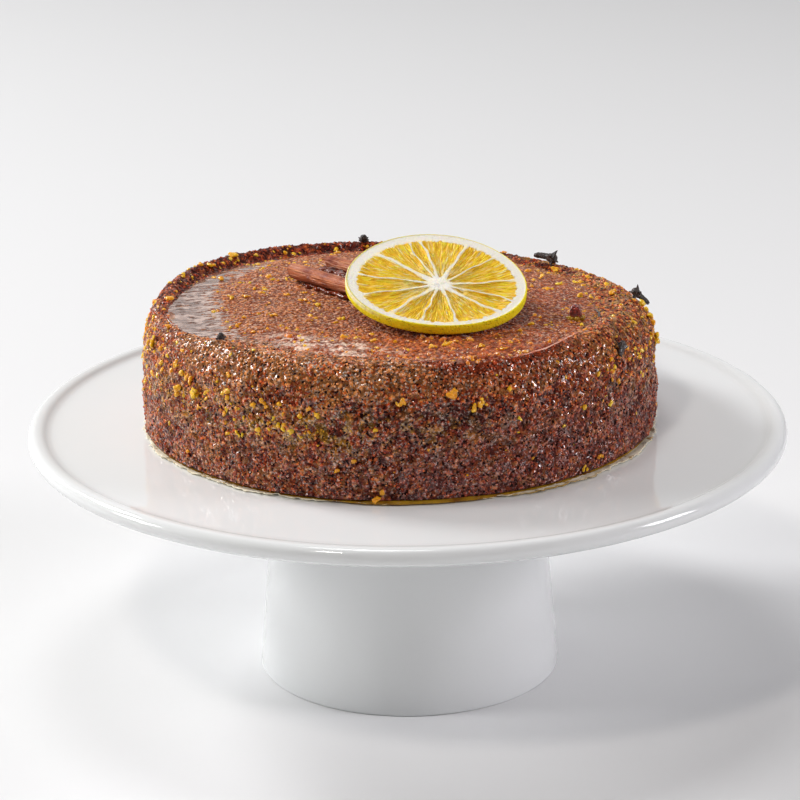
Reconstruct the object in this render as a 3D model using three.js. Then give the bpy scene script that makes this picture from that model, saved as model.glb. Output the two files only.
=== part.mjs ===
// A round almond cake on a footed porcelain cake stand, trimmed with a dried
// citrus slice, a curl of cinnamon bark and cloves.
//
// Units are millimetres and +Z is up. The origin is the middle of the circle on
// which the foot stands, and -Y is the side from which the trimmings are arranged.
// Angles round the cake are counted from +X towards +Y.

import * as THREE from 'three';
import { mergeVertices } from 'three/addons/utils/BufferGeometryUtils.js';

const DEG = Math.PI / 180;
const TURN = 2 * Math.PI;
const UP = new THREE.Vector3(0, 0, 1);

// ---------------------------------------------------------------------------
// Driving dimensions
// ---------------------------------------------------------------------------

const GAP = 0.3; // air left between pieces that only rest on each other

const STAND = {
  radius: 150,
  lipTop: 104.1, // the rounded edge of the plate stands this high
  lipBottom: 97.3,
  lipWidth: 8,
  plateTop: 102.3,
  plateThickness: 6.8,
  footRadius: 60.3,
  footTaper: 0.083, // the foot narrows this much for each millimetre of height
  footHeight: 78, // where the foot starts to flare into the plate
  footFlare: 13,
  wall: 5.3,
  edgeRound: 0.7,
  segments: 60,
};

const PAPER = {
  radius: 101.4,
  thickness: 0.4,
  raggedness: 0.5,
  sideReach: 1.8, // how far it pokes out further at the front left and front right
  frontTuck: 1.0, // and how far it is drawn in at the front
  points: 72,
};

const CAKE = {
  centre: new THREE.Vector2(-3.1, 2.5),
  base: STAND.plateTop + 2 * GAP + PAPER.thickness,
  radius: 102, // of the tin it was baked in, before the sides draw in
  sideTaper: 0.045, // the side leans in this much for each millimetre of height
  footDraw: 0.7, // and is rounded in at the base
  footDrawHeight: 12,
  rimHeight: 50.2,
  middleHeight: 50.6,
  shoulderReach: 9.2,
  shoulderFall: 22.5,
  rimWidth: 5.5, // from the rim's crest in to where the smooth top begins
  innerStep: 0.7, // how far the smooth top lies below the rim, at the least
  doming: 2.4, // the larger, the flatter the middle of the top
  columns: 72,
  shoulderRings: 6,
};

const SLICE = {
  radius: 34.8,
  unevenness: 0.017, // of the outline, as a share of the radius
  thickness: 4.2,
  faceCentre: new THREE.Vector3(11.6, -24.4, 166.75), // the middle of the upper face
  tipForward: 14.2, // degrees that the face leans to the front
  tipSideways: 3.5, // and to the right
  core: new THREE.Vector2(1.3, -3.5), // where the membranes meet, off the centre
  firstMembrane: 5, // degrees
  segmentWidths: [36, 28, 31, 13, 29, 34, 30, 30, 22, 28, 30, 22, 27], // degrees
  columnsPerSegment: 5,
  pulpShare: 0.87, // how much of the way from the core to the edge is pulp
  pulpShift: 0.035, // more of it at the front, where the pith is thinner
  pulpSink: 0.8, // the dried pulp shrinks back below the membranes
  membraneSink: 0.15,
  pithSlope: 0.03, // share over which the pith slopes down to the pulp
  edgeRound: 0.4,
};

const CINNAMON = {
  length: 70,
  bark: 1, // thickness of the bark
  rollRadii: [3.6, 3.8], // front and back roll
  rollSpacing: 17,
  innerRadius: 1.3,
  winding: 430, // degrees of each roll
  stepsPerRoll: 20,
  frontRollEnd: new THREE.Vector2(-44.4, 24.2), // where the front roll's left end lies
  heading: -50.8, // degrees from +X, seen from above
  endSlant: 2, // the back roll starts and ends this much further along
  rise: 1.7, // degrees that it climbs over the domed top
  lengthSteps: 3,
};

const CLOVE = {
  length: 11,
  columns: 12, // three to each of the four sepals
  // height along the clove, plain radius, and how far the sepals stand out
  rings: [
    [0, 0.7, 0],
    [5.6, 1.1, 0],
    [7.5, 1.5, 0.3],
    [8.6, 1.55, 1.6],
    [9.3, 1.7, 1.3],
    [9.7, 1.75, 0.1],
    [10.8, 1.2, 0],
  ],
};

const COLOURS = {
  porcelain: 0xe9e9ec,
  paper: 0xe6d9bb,
  crust: 0x56281a,
  citrus: 0xdcb23a,
  bark: 0x8c4630,
  clove: 0x2a1b15,
};

// ---------------------------------------------------------------------------
// Helpers
// ---------------------------------------------------------------------------

// One closed body in a given colour.
function piece(name, geometry, colour, roughness) {
  const material = new THREE.MeshStandardMaterial({ color: colour, roughness, metalness: 0 });
  const mesh = new THREE.Mesh(geometry, material);
  mesh.name = name;
  return mesh;
}

// Drops normals and texture coordinates, so that vertices that share a place become one.
function welded(geometry) {
  geometry.deleteAttribute('normal');
  geometry.deleteAttribute('uv');
  return mergeVertices(geometry, 1e-4);
}

// A closed skin through a stack of rings, each with the same number of points,
// running anticlockwise as seen from the end of the stack. Both ends are closed
// by a fan about the given end points.
function ringBody(rings, startPoint, endPoint) {
  const columns = rings[0].length;
  const points = [...rings.flat(), startPoint, endPoint];
  const start = points.length - 2;
  const end = points.length - 1;
  const faces = [];
  for (let column = 0; column < columns; column += 1) {
    const next = (column + 1) % columns;
    const lastRow = (rings.length - 1) * columns;
    faces.push(start, next, column, end, lastRow + column, lastRow + next);
    for (let ring = 0; ring < rings.length - 1; ring += 1) {
      const low = ring * columns;
      const high = low + columns;
      faces.push(low + column, low + next, high + next);
      faces.push(low + column, high + next, high + column);
    }
  }
  const geometry = new THREE.BufferGeometry().setFromPoints(points);
  geometry.setIndex(faces);
  return geometry;
}

// 1 in one direction round the cake, fading to 0 on both sides of it.
// A higher sharpness makes the middle flatter and the fading steeper.
function hump(angle, centre, spread, sharpness = 2) {
  const off = angle - centre * DEG;
  const away = Math.abs(Math.atan2(Math.sin(off), Math.cos(off))) / (spread * DEG);
  return Math.exp(-(away ** sharpness));
}

function arc(centreR, centreZ, radius, fromDegrees, toDegrees, steps) {
  return Array.from({ length: steps + 1 }, (_, step) => {
    const angle = THREE.MathUtils.lerp(fromDegrees, toDegrees, step / steps) * DEG;
    return new THREE.Vector2(
      centreR + radius * Math.cos(angle),
      centreZ + radius * Math.sin(angle),
    );
  });
}

// ---------------------------------------------------------------------------
// Cake stand: a flat plate with a rounded lip on a hollow, tapering foot
// ---------------------------------------------------------------------------

function standProfile() {
  const { radius, lipTop, lipBottom, lipWidth, plateTop, plateThickness, wall } = STAND;
  const { footRadius, footTaper, footHeight, footFlare, edgeRound } = STAND;
  const point = (r, z) => new THREE.Vector2(r, z);
  const ceiling = plateTop - plateThickness;
  const neck = footRadius - footTaper * footHeight;
  const innerRound = footFlare / 2;
  const innerNeck = neck - wall;
  const lipRound = (lipTop - lipBottom) / 2;
  return [
    point(0, ceiling),
    ...arc(innerNeck - innerRound, ceiling - innerRound, innerRound, 90, 0, 3),
    point(footRadius - wall, edgeRound),
    point(footRadius - wall + edgeRound, 0),
    point(footRadius - edgeRound, 0),
    point(footRadius, edgeRound),
    ...arc(neck + footFlare, footHeight, footFlare, 180, 90, 4),
    point(radius - lipWidth, lipBottom - 2),
    point(radius - lipRound, lipBottom - 0.3),
    ...arc(radius - lipRound, lipBottom + lipRound, lipRound, -60, 90, 6),
    point(radius - lipWidth * 0.75, lipTop - 0.35),
    point(radius - lipWidth, plateTop + 0.4),
    point(radius - lipWidth * 1.6, plateTop),
    point(0, plateTop),
  ];
}

function cakeStand() {
  const geometry = new THREE.LatheGeometry(standProfile(), STAND.segments);
  geometry.rotateX(90 * DEG);
  return piece('cake_stand', welded(geometry), COLOURS.porcelain, 0.12);
}

// ---------------------------------------------------------------------------
// Baking paper: a disc with an uneven edge, under the cake
// ---------------------------------------------------------------------------

function paperRadius(angle) {
  const sides = hump(angle, -132, 34) + hump(angle, -42, 34);
  const nibbles = Math.sin(11 * angle) + 0.7 * Math.sin(23 * angle + 1.3);
  return (
    PAPER.radius +
    PAPER.sideReach * sides -
    PAPER.frontTuck * hump(angle, -90, 18) +
    PAPER.raggedness * nibbles
  );
}

function bakingPaper() {
  const outline = Array.from({ length: PAPER.points }, (_, index) => {
    const angle = (index / PAPER.points) * TURN;
    const reach = paperRadius(angle);
    return new THREE.Vector2(reach * Math.cos(angle), reach * Math.sin(angle));
  });
  const geometry = new THREE.ExtrudeGeometry(new THREE.Shape(outline), {
    depth: PAPER.thickness,
    bevelEnabled: false,
  });
  const mesh = piece('baking_paper', welded(geometry), COLOURS.paper, 0.6);
  mesh.position.set(CAKE.centre.x, CAKE.centre.y, STAND.plateTop + GAP);
  return mesh;
}

// ---------------------------------------------------------------------------
// Cake: a low round with a raised, rounded rim, highest at the front and left,
// sunken to the right, and a gently domed top inside the rim
// ---------------------------------------------------------------------------

const rimHeight = (angle) =>
  CAKE.rimHeight +
  1.2 * hump(angle, -100, 55) -
  6.3 * hump(angle, 50, 52) -
  1.5 * hump(angle, 105, 32);

const shoulderReach = (angle) => CAKE.shoulderReach + 5.3 * hump(angle, 10, 50);

const shoulderFall = (angle) => CAKE.shoulderFall - 5 * hump(angle, 10, 50);

const rimWidth = (angle) => CAKE.rimWidth + 2.5 * hump(angle, 0, 60);

const innerStep = (angle) =>
  CAKE.innerStep + 2.5 * hump(angle, 157, 66, 4) + 0.7 * hump(angle, -15, 40);

const crestRadius = (angle) =>
  sideRadius(angle, rimHeight(angle) - shoulderFall(angle)) - shoulderReach(angle);

const floorRadius = (angle) => crestRadius(angle) - rimWidth(angle);

// Radius of the side, at a height above the cake's base and below the shoulder.
function sideRadius(angle, height) {
  const waves = 0.25 * Math.sin(3 * angle + 0.6) + 0.2 * Math.sin(7 * angle + 2);
  const draw = Math.max(0, 1 - height / CAKE.footDrawHeight) ** 2 * CAKE.footDraw;
  return CAKE.radius + waves - CAKE.sideTaper * height - draw;
}

// Height of the top inside the rim's crest, above the cake's base.
function topHeight(radius, angle) {
  const inner = floorRadius(angle);
  const floor = rimHeight(angle) - innerStep(angle);
  if (radius > inner) {
    const across = THREE.MathUtils.smoothstep(radius, inner, crestRadius(angle));
    return floor + innerStep(angle) * across;
  }
  const fall = (radius / inner) ** CAKE.doming;
  return THREE.MathUtils.lerp(CAKE.middleHeight, floor, fall);
}

// A point of the rounded shoulder: 0 degrees at the rim's crest, 90 at the side.
function shoulderPoint(angle, degrees) {
  return new THREE.Vector2(
    crestRadius(angle) + shoulderReach(angle) * Math.sin(degrees * DEG),
    rimHeight(angle) - shoulderFall(angle) * (1 - Math.cos(degrees * DEG)),
  );
}

// The same point's direction away from the cake, in the upright plane at this angle.
function shoulderNormal(angle, degrees) {
  return new THREE.Vector2(
    Math.sin(degrees * DEG) / shoulderReach(angle),
    Math.cos(degrees * DEG) / shoulderFall(angle),
  ).normalize();
}

// One upright outline of the cake, from the base to near the middle of the top.
function cakeOutline(angle) {
  const outline = [new THREE.Vector2(sideRadius(angle, 0) - 1.2, 0)];
  for (const height of [1.2, 8, 18]) {
    outline.push(new THREE.Vector2(sideRadius(angle, height), height));
  }
  for (let ring = CAKE.shoulderRings; ring >= 0; ring -= 1) {
    outline.push(shoulderPoint(angle, (ring / CAKE.shoulderRings) * 90));
  }
  const crest = crestRadius(angle);
  const inner = floorRadius(angle);
  for (const radius of [(crest + inner) / 2, inner, 0.8 * inner, 0.55 * inner, 0.25 * inner]) {
    outline.push(new THREE.Vector2(radius, topHeight(radius, angle)));
  }
  return outline;
}

// From a radius, an angle and a height above the cake's base to a place in space.
function onCake(radius, angle, height) {
  return new THREE.Vector3(
    CAKE.centre.x + radius * Math.cos(angle),
    CAKE.centre.y + radius * Math.sin(angle),
    CAKE.base + height,
  );
}

// Height in space of the cake's top below or above a point, inside the rim.
function cakeTopAt(x, y) {
  const across = new THREE.Vector2(x, y).sub(CAKE.centre);
  return CAKE.base + topHeight(across.length(), Math.atan2(across.y, across.x));
}

function cake() {
  const angles = Array.from({ length: CAKE.columns }, (_, index) => (index / CAKE.columns) * TURN);
  const outlines = angles.map(cakeOutline);
  const rings = outlines[0].map((_, ring) =>
    angles.map((angle, index) => onCake(outlines[index][ring].x, angle, outlines[index][ring].y)),
  );
  const geometry = ringBody(rings, onCake(0, 0, 0), onCake(0, 0, CAKE.middleHeight));
  return piece('cake', geometry, COLOURS.crust, 0.6);
}

// ---------------------------------------------------------------------------
// Dried citrus slice: rind and pith stand proud, and the pulp has shrunk back
// between the membranes that run out from the core
// ---------------------------------------------------------------------------

const sliceRadius = (angle) => SLICE.radius * (1 - SLICE.unevenness * Math.sin(3 * angle));

// The columns of the slice's skin: one on each membrane and the rest on the pulp between.
function sliceColumns() {
  const columns = [];
  let membrane = SLICE.firstMembrane;
  for (const width of SLICE.segmentWidths) {
    for (let step = 0; step < SLICE.columnsPerSegment; step += 1) {
      const share = step / SLICE.columnsPerSegment;
      columns.push({ angle: (membrane + width * share) * DEG, onMembrane: step === 0 });
    }
    membrane += width;
  }
  return columns;
}

function citrusSlice() {
  const { core, thickness, pulpSink, membraneSink, edgeRound, pithSlope } = SLICE;
  const half = thickness / 2;
  const columns = sliceColumns();
  const pulpEdge = (angle) => SLICE.pulpShare - SLICE.pulpShift * Math.sin(angle);
  // share of the way from the core to the edge, and whether the pulp lies there
  const faceRings = [
    { share: () => 0.09, pulp: false },
    { share: () => 0.2, pulp: true },
    { share: () => 0.55, pulp: true },
    { share: (angle) => pulpEdge(angle) - pithSlope, pulp: true },
    { share: pulpEdge, pulp: false },
    { share: () => 1 - edgeRound / SLICE.radius, pulp: false },
  ];
  const place = (angle, share, height) => {
    const edge = new THREE.Vector2(Math.cos(angle), Math.sin(angle));
    const spot = core.clone().lerp(edge.multiplyScalar(sliceRadius(angle)), share);
    return new THREE.Vector3(spot.x, spot.y, height);
  };
  const faceRing = (ring, side) =>
    columns.map(({ angle, onMembrane }) => {
      const pulpDepth = onMembrane ? membraneSink : pulpSink;
      return place(angle, ring.share(angle), side * (half - (ring.pulp ? pulpDepth : 0)));
    });
  const edgeRing = (height) => columns.map(({ angle }) => place(angle, 1, height));
  const rings = [
    ...faceRings.map((ring) => faceRing(ring, -1)),
    edgeRing(-half + edgeRound),
    edgeRing(half - edgeRound),
    ...faceRings.toReversed().map((ring) => faceRing(ring, 1)),
  ];
  const middle = (height) => new THREE.Vector3(core.x, core.y, height);
  return piece('citrus_slice', ringBody(rings, middle(-half), middle(half)), COLOURS.citrus, 0.55);
}

function placeSlice(mesh) {
  const forward = SLICE.tipForward * DEG;
  const sideways = SLICE.tipSideways * DEG;
  const normal = new THREE.Vector3(
    Math.sin(sideways),
    -Math.sin(forward) * Math.cos(sideways),
    Math.cos(forward) * Math.cos(sideways),
  );
  const across = new THREE.Vector3(0, 1, 0).cross(normal).normalize();
  const along = normal.clone().cross(across);
  mesh.quaternion.setFromRotationMatrix(new THREE.Matrix4().makeBasis(across, along, normal));
  mesh.position.copy(SLICE.faceCentre).addScaledVector(normal, -SLICE.thickness / 2);
  return mesh;
}

// ---------------------------------------------------------------------------
// Cinnamon: one sheet of bark whose two edges have rolled inwards
// ---------------------------------------------------------------------------

// The middle line of the bark in one roll, from the bottom of the roll inwards,
// with the direction at right angles to it, towards the inside of the roll.
function rollLine(centreX, radius, direction) {
  const outer = radius - CINNAMON.bark / 2;
  return Array.from({ length: CINNAMON.stepsPerRoll + 1 }, (_, step) => {
    const share = step / CINNAMON.stepsPerRoll;
    const angle = (-90 + direction * CINNAMON.winding * share) * DEG;
    const reach = THREE.MathUtils.lerp(outer, CINNAMON.innerRadius, share);
    const outward = new THREE.Vector2(Math.cos(angle), Math.sin(angle));
    return {
      spot: new THREE.Vector2(centreX, radius).addScaledVector(outward, reach),
      inward: outward.negate(),
    };
  });
}

function barkOutline() {
  const [front, back] = CINNAMON.rollRadii;
  const line = [
    ...rollLine(0, front, -1).reverse(),
    ...rollLine(CINNAMON.rollSpacing, back, 1),
  ];
  const offset = (distance) => ({ spot, inward }) => spot.clone().addScaledVector(inward, distance);
  const inner = line.map(offset(CINNAMON.bark / 2));
  const outer = line.map(offset(-CINNAMON.bark / 2));
  return [...outer, ...inner.reverse()];
}

function cinnamonStick() {
  const geometry = new THREE.ExtrudeGeometry(new THREE.Shape(barkOutline()), {
    depth: CINNAMON.length,
    steps: CINNAMON.lengthSteps,
    bevelEnabled: false,
  });
  // the section stands upright across +X, which becomes the length of the stick
  geometry.rotateX(90 * DEG);
  geometry.rotateZ(90 * DEG);
  const places = geometry.attributes.position;
  const slant = CINNAMON.endSlant / CINNAMON.rollSpacing;
  for (let index = 0; index < places.count; index += 1) {
    places.setX(index, places.getX(index) + slant * places.getY(index));
  }
  return piece('cinnamon_stick', welded(geometry), COLOURS.bark, 0.7);
}

// Lays the stick on the domed top: it climbs a little towards the middle of the
// cake, and touches where the top is highest below it.
function placeStick(mesh) {
  const { length, rollSpacing, frontRollEnd, heading, rise } = CINNAMON;
  const along = new THREE.Vector3(1, 0, 0);
  const across = new THREE.Vector3(0, 1, 0);
  mesh.rotation.set(0, -rise * DEG, heading * DEG, 'ZYX');
  mesh.updateMatrix();
  along.applyQuaternion(mesh.quaternion);
  across.applyQuaternion(mesh.quaternion);
  let base = 0;
  for (let step = 0; step <= 10; step += 1) {
    for (const offset of [-1, 0, rollSpacing / 2, rollSpacing, rollSpacing + 1]) {
      const spot = new THREE.Vector3(frontRollEnd.x, frontRollEnd.y, 0)
        .addScaledVector(along, (step / 10) * length)
        .addScaledVector(across, offset);
      base = Math.max(base, cakeTopAt(spot.x, spot.y) - spot.z);
    }
  }
  mesh.position.set(frontRollEnd.x, frontRollEnd.y, base + GAP);
  return mesh;
}

// ---------------------------------------------------------------------------
// Cloves: a slim stem, four pointed sepals and a round bud
// ---------------------------------------------------------------------------

// A clove standing on its stem. What is sunk in the cake is left off with a flat
// cut, bulk widens it, and flatness squeezes one that lies half buried. One that
// lies on its side rests on two of its four sepals.
function clove(name, { sunk = 0, bulk = 1, flatness = 1, sepals = 1 } = {}) {
  const showing = CLOVE.rings.filter(([height]) => height > sunk);
  const cut = sunk > 0 ? [[sunk, showing[0][1], 0]] : [];
  const rings = [...cut, ...showing].map(([height, radius, sepal]) =>
    Array.from({ length: CLOVE.columns }, (_, column) => {
      const angle = (column / CLOVE.columns) * TURN + 45 * DEG;
      const reach = bulk * (radius - sepals * sepal * Math.min(0, Math.cos(4 * angle)));
      return new THREE.Vector3(
        reach * Math.cos(angle),
        reach * Math.sin(angle) * flatness,
        height - sunk,
      );
    }),
  );
  const geometry = ringBody(
    rings,
    new THREE.Vector3(0, 0, 0),
    new THREE.Vector3(0, 0, CLOVE.length - sunk),
  );
  return piece(name, geometry, COLOURS.clove, 0.7);
}

// Lays a clove along the cake's shoulder. Its stem points along the rim when turn
// is 0 and down the side when it is 90.
function layOnShoulder(mesh, { angle, slope, turn, lift, rise = 0 }) {
  const direction = angle * DEG;
  const outline = shoulderPoint(direction, slope);
  const tilt = shoulderNormal(direction, slope);
  const radial = new THREE.Vector3(Math.cos(direction), Math.sin(direction), 0);
  const away = radial.clone().multiplyScalar(tilt.x).addScaledVector(UP, tilt.y);
  const along = UP.clone().cross(radial);
  const down = along.clone().cross(away);
  const stem = along
    .clone()
    .multiplyScalar(Math.cos(turn * DEG))
    .addScaledVector(down, Math.sin(turn * DEG));
  const bud = stem
    .negate()
    .multiplyScalar(Math.cos(rise * DEG))
    .addScaledVector(away, Math.sin(rise * DEG));
  const thin = bud.clone().cross(away).cross(bud).normalize();
  const wide = thin.clone().cross(bud);
  mesh.quaternion.setFromRotationMatrix(new THREE.Matrix4().makeBasis(wide, thin, bud));
  mesh.position
    .copy(onCake(outline.x, direction, outline.y))
    .addScaledVector(away, lift);
  return mesh;
}

// Stands a clove, cut off where it enters the cake, on the top inside the rim,
// clear of the highest spot below it.
function standOnTop(mesh, { angle, radius, reach }) {
  const direction = angle * DEG;
  const heights = [-reach, 0, reach].map((step) => topHeight(radius + step, direction));
  mesh.position.copy(onCake(radius, direction, Math.max(...heights) + GAP));
  return mesh;
}

function cloves() {
  return [
    layOnShoulder(clove('clove_1', { sunk: 8.2 }), {
      angle: 99, slope: 0, turn: 0, lift: GAP + 0.1, rise: 90,
    }),
    layOnShoulder(clove('clove_2'), { angle: 49, slope: -9, turn: -2.7, lift: 3.3, rise: -2.5 }),
    layOnShoulder(clove('clove_3'), { angle: 4.7, slope: 49.7, turn: 65, lift: 2.3, rise: -8.6 }),
    layOnShoulder(clove('clove_4', { sunk: 4.5, bulk: 0.85, flatness: 0.4 }), {
      angle: -32.9, slope: 59.2, turn: 138, lift: 0.8,
    }),
    standOnTop(clove('clove_5', { sunk: 8.6, bulk: 0.75 }), { angle: -137, radius: 90.7, reach: 2.4 }),
    standOnTop(clove('clove_6', { sunk: 6, bulk: 1.5, sepals: 0 }), {
      angle: -24.8, radius: 74.6, reach: 2.6,
    }),
  ];
}

// ---------------------------------------------------------------------------
// The whole
// ---------------------------------------------------------------------------

const cakeOnStand = new THREE.Group();
cakeOnStand.add(
  cakeStand(),
  bakingPaper(),
  cake(),
  placeSlice(citrusSlice()),
  placeStick(cinnamonStick()),
  ...cloves(),
);

export default cakeOnStand;
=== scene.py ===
"""Looks of a round almond cake on a footed porcelain stand.

The cake is baked dark, soaked in syrup and trimmed with a dried citrus slice, a curl of
cinnamon bark, cloves and bits of orange zest. Lengths below are millimetres unless a name
or a comment says otherwise, +Z is up and -Y is the front. Angles round the cake are counted
from +X towards +Y.
"""

from __future__ import annotations

import logging
import math
from dataclasses import dataclass
from enum import Enum
from typing import Any, Callable, Sequence

import bmesh
import bpy
import numpy as np
from mathutils import Matrix, Vector


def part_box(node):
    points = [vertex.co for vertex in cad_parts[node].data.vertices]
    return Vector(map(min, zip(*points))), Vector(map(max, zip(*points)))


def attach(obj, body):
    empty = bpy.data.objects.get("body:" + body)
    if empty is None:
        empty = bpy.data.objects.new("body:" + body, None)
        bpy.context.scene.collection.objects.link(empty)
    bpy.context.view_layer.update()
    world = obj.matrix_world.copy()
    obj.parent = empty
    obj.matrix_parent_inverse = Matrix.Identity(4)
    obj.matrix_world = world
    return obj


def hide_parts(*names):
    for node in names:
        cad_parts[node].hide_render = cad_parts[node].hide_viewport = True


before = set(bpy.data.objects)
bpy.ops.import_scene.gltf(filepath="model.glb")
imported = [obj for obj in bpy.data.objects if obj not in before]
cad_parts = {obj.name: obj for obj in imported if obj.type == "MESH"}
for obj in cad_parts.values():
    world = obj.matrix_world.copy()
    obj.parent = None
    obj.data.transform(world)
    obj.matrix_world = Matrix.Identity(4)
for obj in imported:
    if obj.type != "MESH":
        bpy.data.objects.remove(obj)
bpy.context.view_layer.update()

MM = 0.001
TURN = 2 * math.pi
BODY = "root"
LOG = logging.getLogger("almond_cake")

Colour = tuple[float, float, float]  # linear red, green and blue
Place = tuple[float, float, float]
Spot = tuple[float, float]  # a place in a plane
Material = bpy.types.Material
NodeTree = bpy.types.NodeTree
Object = bpy.types.Object
Socket = bpy.types.NodeSocket
Array = np.ndarray
Part = tuple[Array, list[list[int]]]  # corners and faces


# ---- Small helpers for shapes ----


def hump(angle: Array, centre: float, spread: float, sharpness: float = 2) -> Array:
    """One in one direction round the cake, fading to nothing on both sides of it.

    Args:
        angle: Directions in radians.
        centre: Middle of the hump in degrees.
        spread: How far from the middle it has faded to about a third, in degrees.
        sharpness: The higher, the flatter the middle and the steeper the fading.

    Returns:
        Values from 0 to 1, one for each direction.
    """
    off = angle - math.radians(centre)
    away = np.abs(np.arctan2(np.sin(off), np.cos(off))) / math.radians(spread)
    return np.exp(-(away**sharpness))


def humps(angle: Array, *parts: tuple[float, ...]) -> Array:
    """Adds up humps, each given by its height and then by what hump takes."""
    return sum(height * hump(angle, *place) for height, *place in parts)


def waves(angle: Array, *parts: tuple[float, ...]) -> Array:
    """Adds up waves, each given by its height, how many go round and, unless 0, its start."""
    return sum(height * np.sin(count * angle + sum(start)) for height, count, *start in parts)


def unit(value: Array) -> Array:
    """Keeps values between 0 and 1."""
    return np.clip(value, 0, 1)


def smooth(value: Array, low: float | Array, high: float | Array) -> Array:
    """Rises smoothly from 0 at low to 1 at high (or falls, where high is the smaller)."""
    share = unit((value - low) / (high - low))
    return share * share * (3 - 2 * share)


def bell(value: Array, centre: float | Array, spread: float) -> Array:
    """A bell curve of height 1 about the centre."""
    return np.exp(-(((value - centre) / spread) ** 2))


def around(columns: int) -> Array:
    """Evenly spaced directions round a circle, in radians."""
    return np.arange(columns) / columns * TURN


def moved(points: Array, matrix: Matrix) -> Array:
    """Moves and turns points by a matrix."""
    table = np.array(matrix)
    return points @ table[:3, :3].T + table[:3, 3]


def place_object(name: str, data: bpy.types.ID) -> Object:
    """Makes an object of some data and links it to the scene."""
    piece = bpy.data.objects.new(name, data)
    bpy.context.scene.collection.objects.link(piece)
    return piece


def make_object(
    name: str, points: Array, faces: Sequence[Sequence[int]], attributes: dict[str, Array] | None = None
) -> Object:
    """Makes a smooth-shaded mesh object at the origin.

    Args:
        name: Name of the piece.
        points: Corner places in millimetres, one row each.
        faces: Corner indices of each face.
        attributes: Values stored on the corners, by name; rows of three are vectors.

    Returns:
        The linked object.
    """
    mesh = bpy.data.meshes.new(name)
    mesh.from_pydata((points * MM).tolist(), [], faces)
    mesh.polygons.foreach_set("use_smooth", [True] * len(mesh.polygons))
    for key, values in (attributes or {}).items():
        vector = values.ndim == 2
        layer = mesh.attributes.new(key, "FLOAT_VECTOR" if vector else "FLOAT", "POINT")
        layer.data.foreach_set("vector" if vector else "value", values.astype(np.float32).ravel())
    mesh.update()
    return place_object(name, mesh)


def ring_quads(rings: int, columns: int, closed: bool = False) -> list[tuple[int, ...]]:
    """Quads of a skin through stacked rings that run anticlockwise as seen from the stack's end.

    Args:
        rings: Number of rings.
        columns: Corners in each ring.
        closed: Whether the last ring joins the first.

    Returns:
        Corner indices of the quads.
    """
    column = np.arange(columns)
    after = (column + 1) % columns
    low = np.arange(rings if closed else rings - 1)[:, None] * columns
    high = (low + columns) % (rings * columns)
    quads = np.stack([low + column, low + after, high + after, high + column], axis=-1)
    return [tuple(quad) for quad in quads.reshape(-1, 4).tolist()]


def ring_body(
    name: str, rings: Array, start: Sequence[float], end: Sequence[float], attributes: dict[str, Array] | None = None
) -> Object:
    """Makes a closed body from stacked rings of corners, with a fan at each end.

    Args:
        name: Name of the piece.
        rings: Corner places, by ring and by column.
        start: Middle of the first ring's fan.
        end: Middle of the last ring's fan.
        attributes: Values by ring and by column, stored on the corners.

    Returns:
        The linked object.
    """
    count, columns = rings.shape[:2]
    stored = {}
    for key, values in (attributes or {}).items():
        flat = values.reshape(count * columns, -1)
        flat = np.vstack([flat, flat[:columns].mean(0), flat[-columns:].mean(0)])
        stored[key] = flat if flat.shape[1] == 3 else flat[:, 0]
    middle, last = count * columns, (count - 1) * columns
    pairs = [(column, (column + 1) % columns) for column in range(columns)]
    faces = ring_quads(count, columns)
    faces += [(middle, after, column) for column, after in pairs]
    faces += [(middle + 1, last + column, last + after) for column, after in pairs]
    return make_object(name, np.vstack([rings.reshape(-1, 3), start, end]), faces, stored)


def join_parts(parts: Sequence[Part]) -> Part:
    """Joins the corners and faces of several bodies."""
    starts = np.cumsum([0] + [len(points) for points, _ in parts]).tolist()
    faces = [[start + corner for corner in face] for start, (_, own) in zip(starts, parts) for face in own]
    return np.concatenate([points for points, _ in parts]), faces


# ---- Node trees ----


class Field:
    """A value that changes over a piece, in a node tree being wired up."""

    def __init__(self, graph: Graph, socket: Socket) -> None:
        """Keeps the output socket that gives the value."""
        self.graph = graph
        self.socket = socket

    def __add__(self, other: Any) -> Field:
        """Adds another value."""
        return self.graph.math("ADD", self, other)

    def __sub__(self, other: Any) -> Field:
        """Takes another value away."""
        return self.graph.math("SUBTRACT", self, other)

    def __mul__(self, other: Any) -> Field:
        """Multiplies by another value."""
        return self.graph.math("MULTIPLY", self, other)

    def __or__(self, other: Any) -> Field:
        """Takes the higher of this and another value."""
        return self.graph.math("MAXIMUM", self, other)

    def ramp(self, low: float, high: float, start: float = 0.0, end: float = 1.0) -> Field:
        """Maps low to start and high to end, smoothly and clamped."""
        inputs = {"Value": self, "From Min": low, "From Max": high, "To Min": start, "To Max": end}
        return self.graph.made("ShaderNodeMapRange", inputs, interpolation_type="SMOOTHSTEP")


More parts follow.
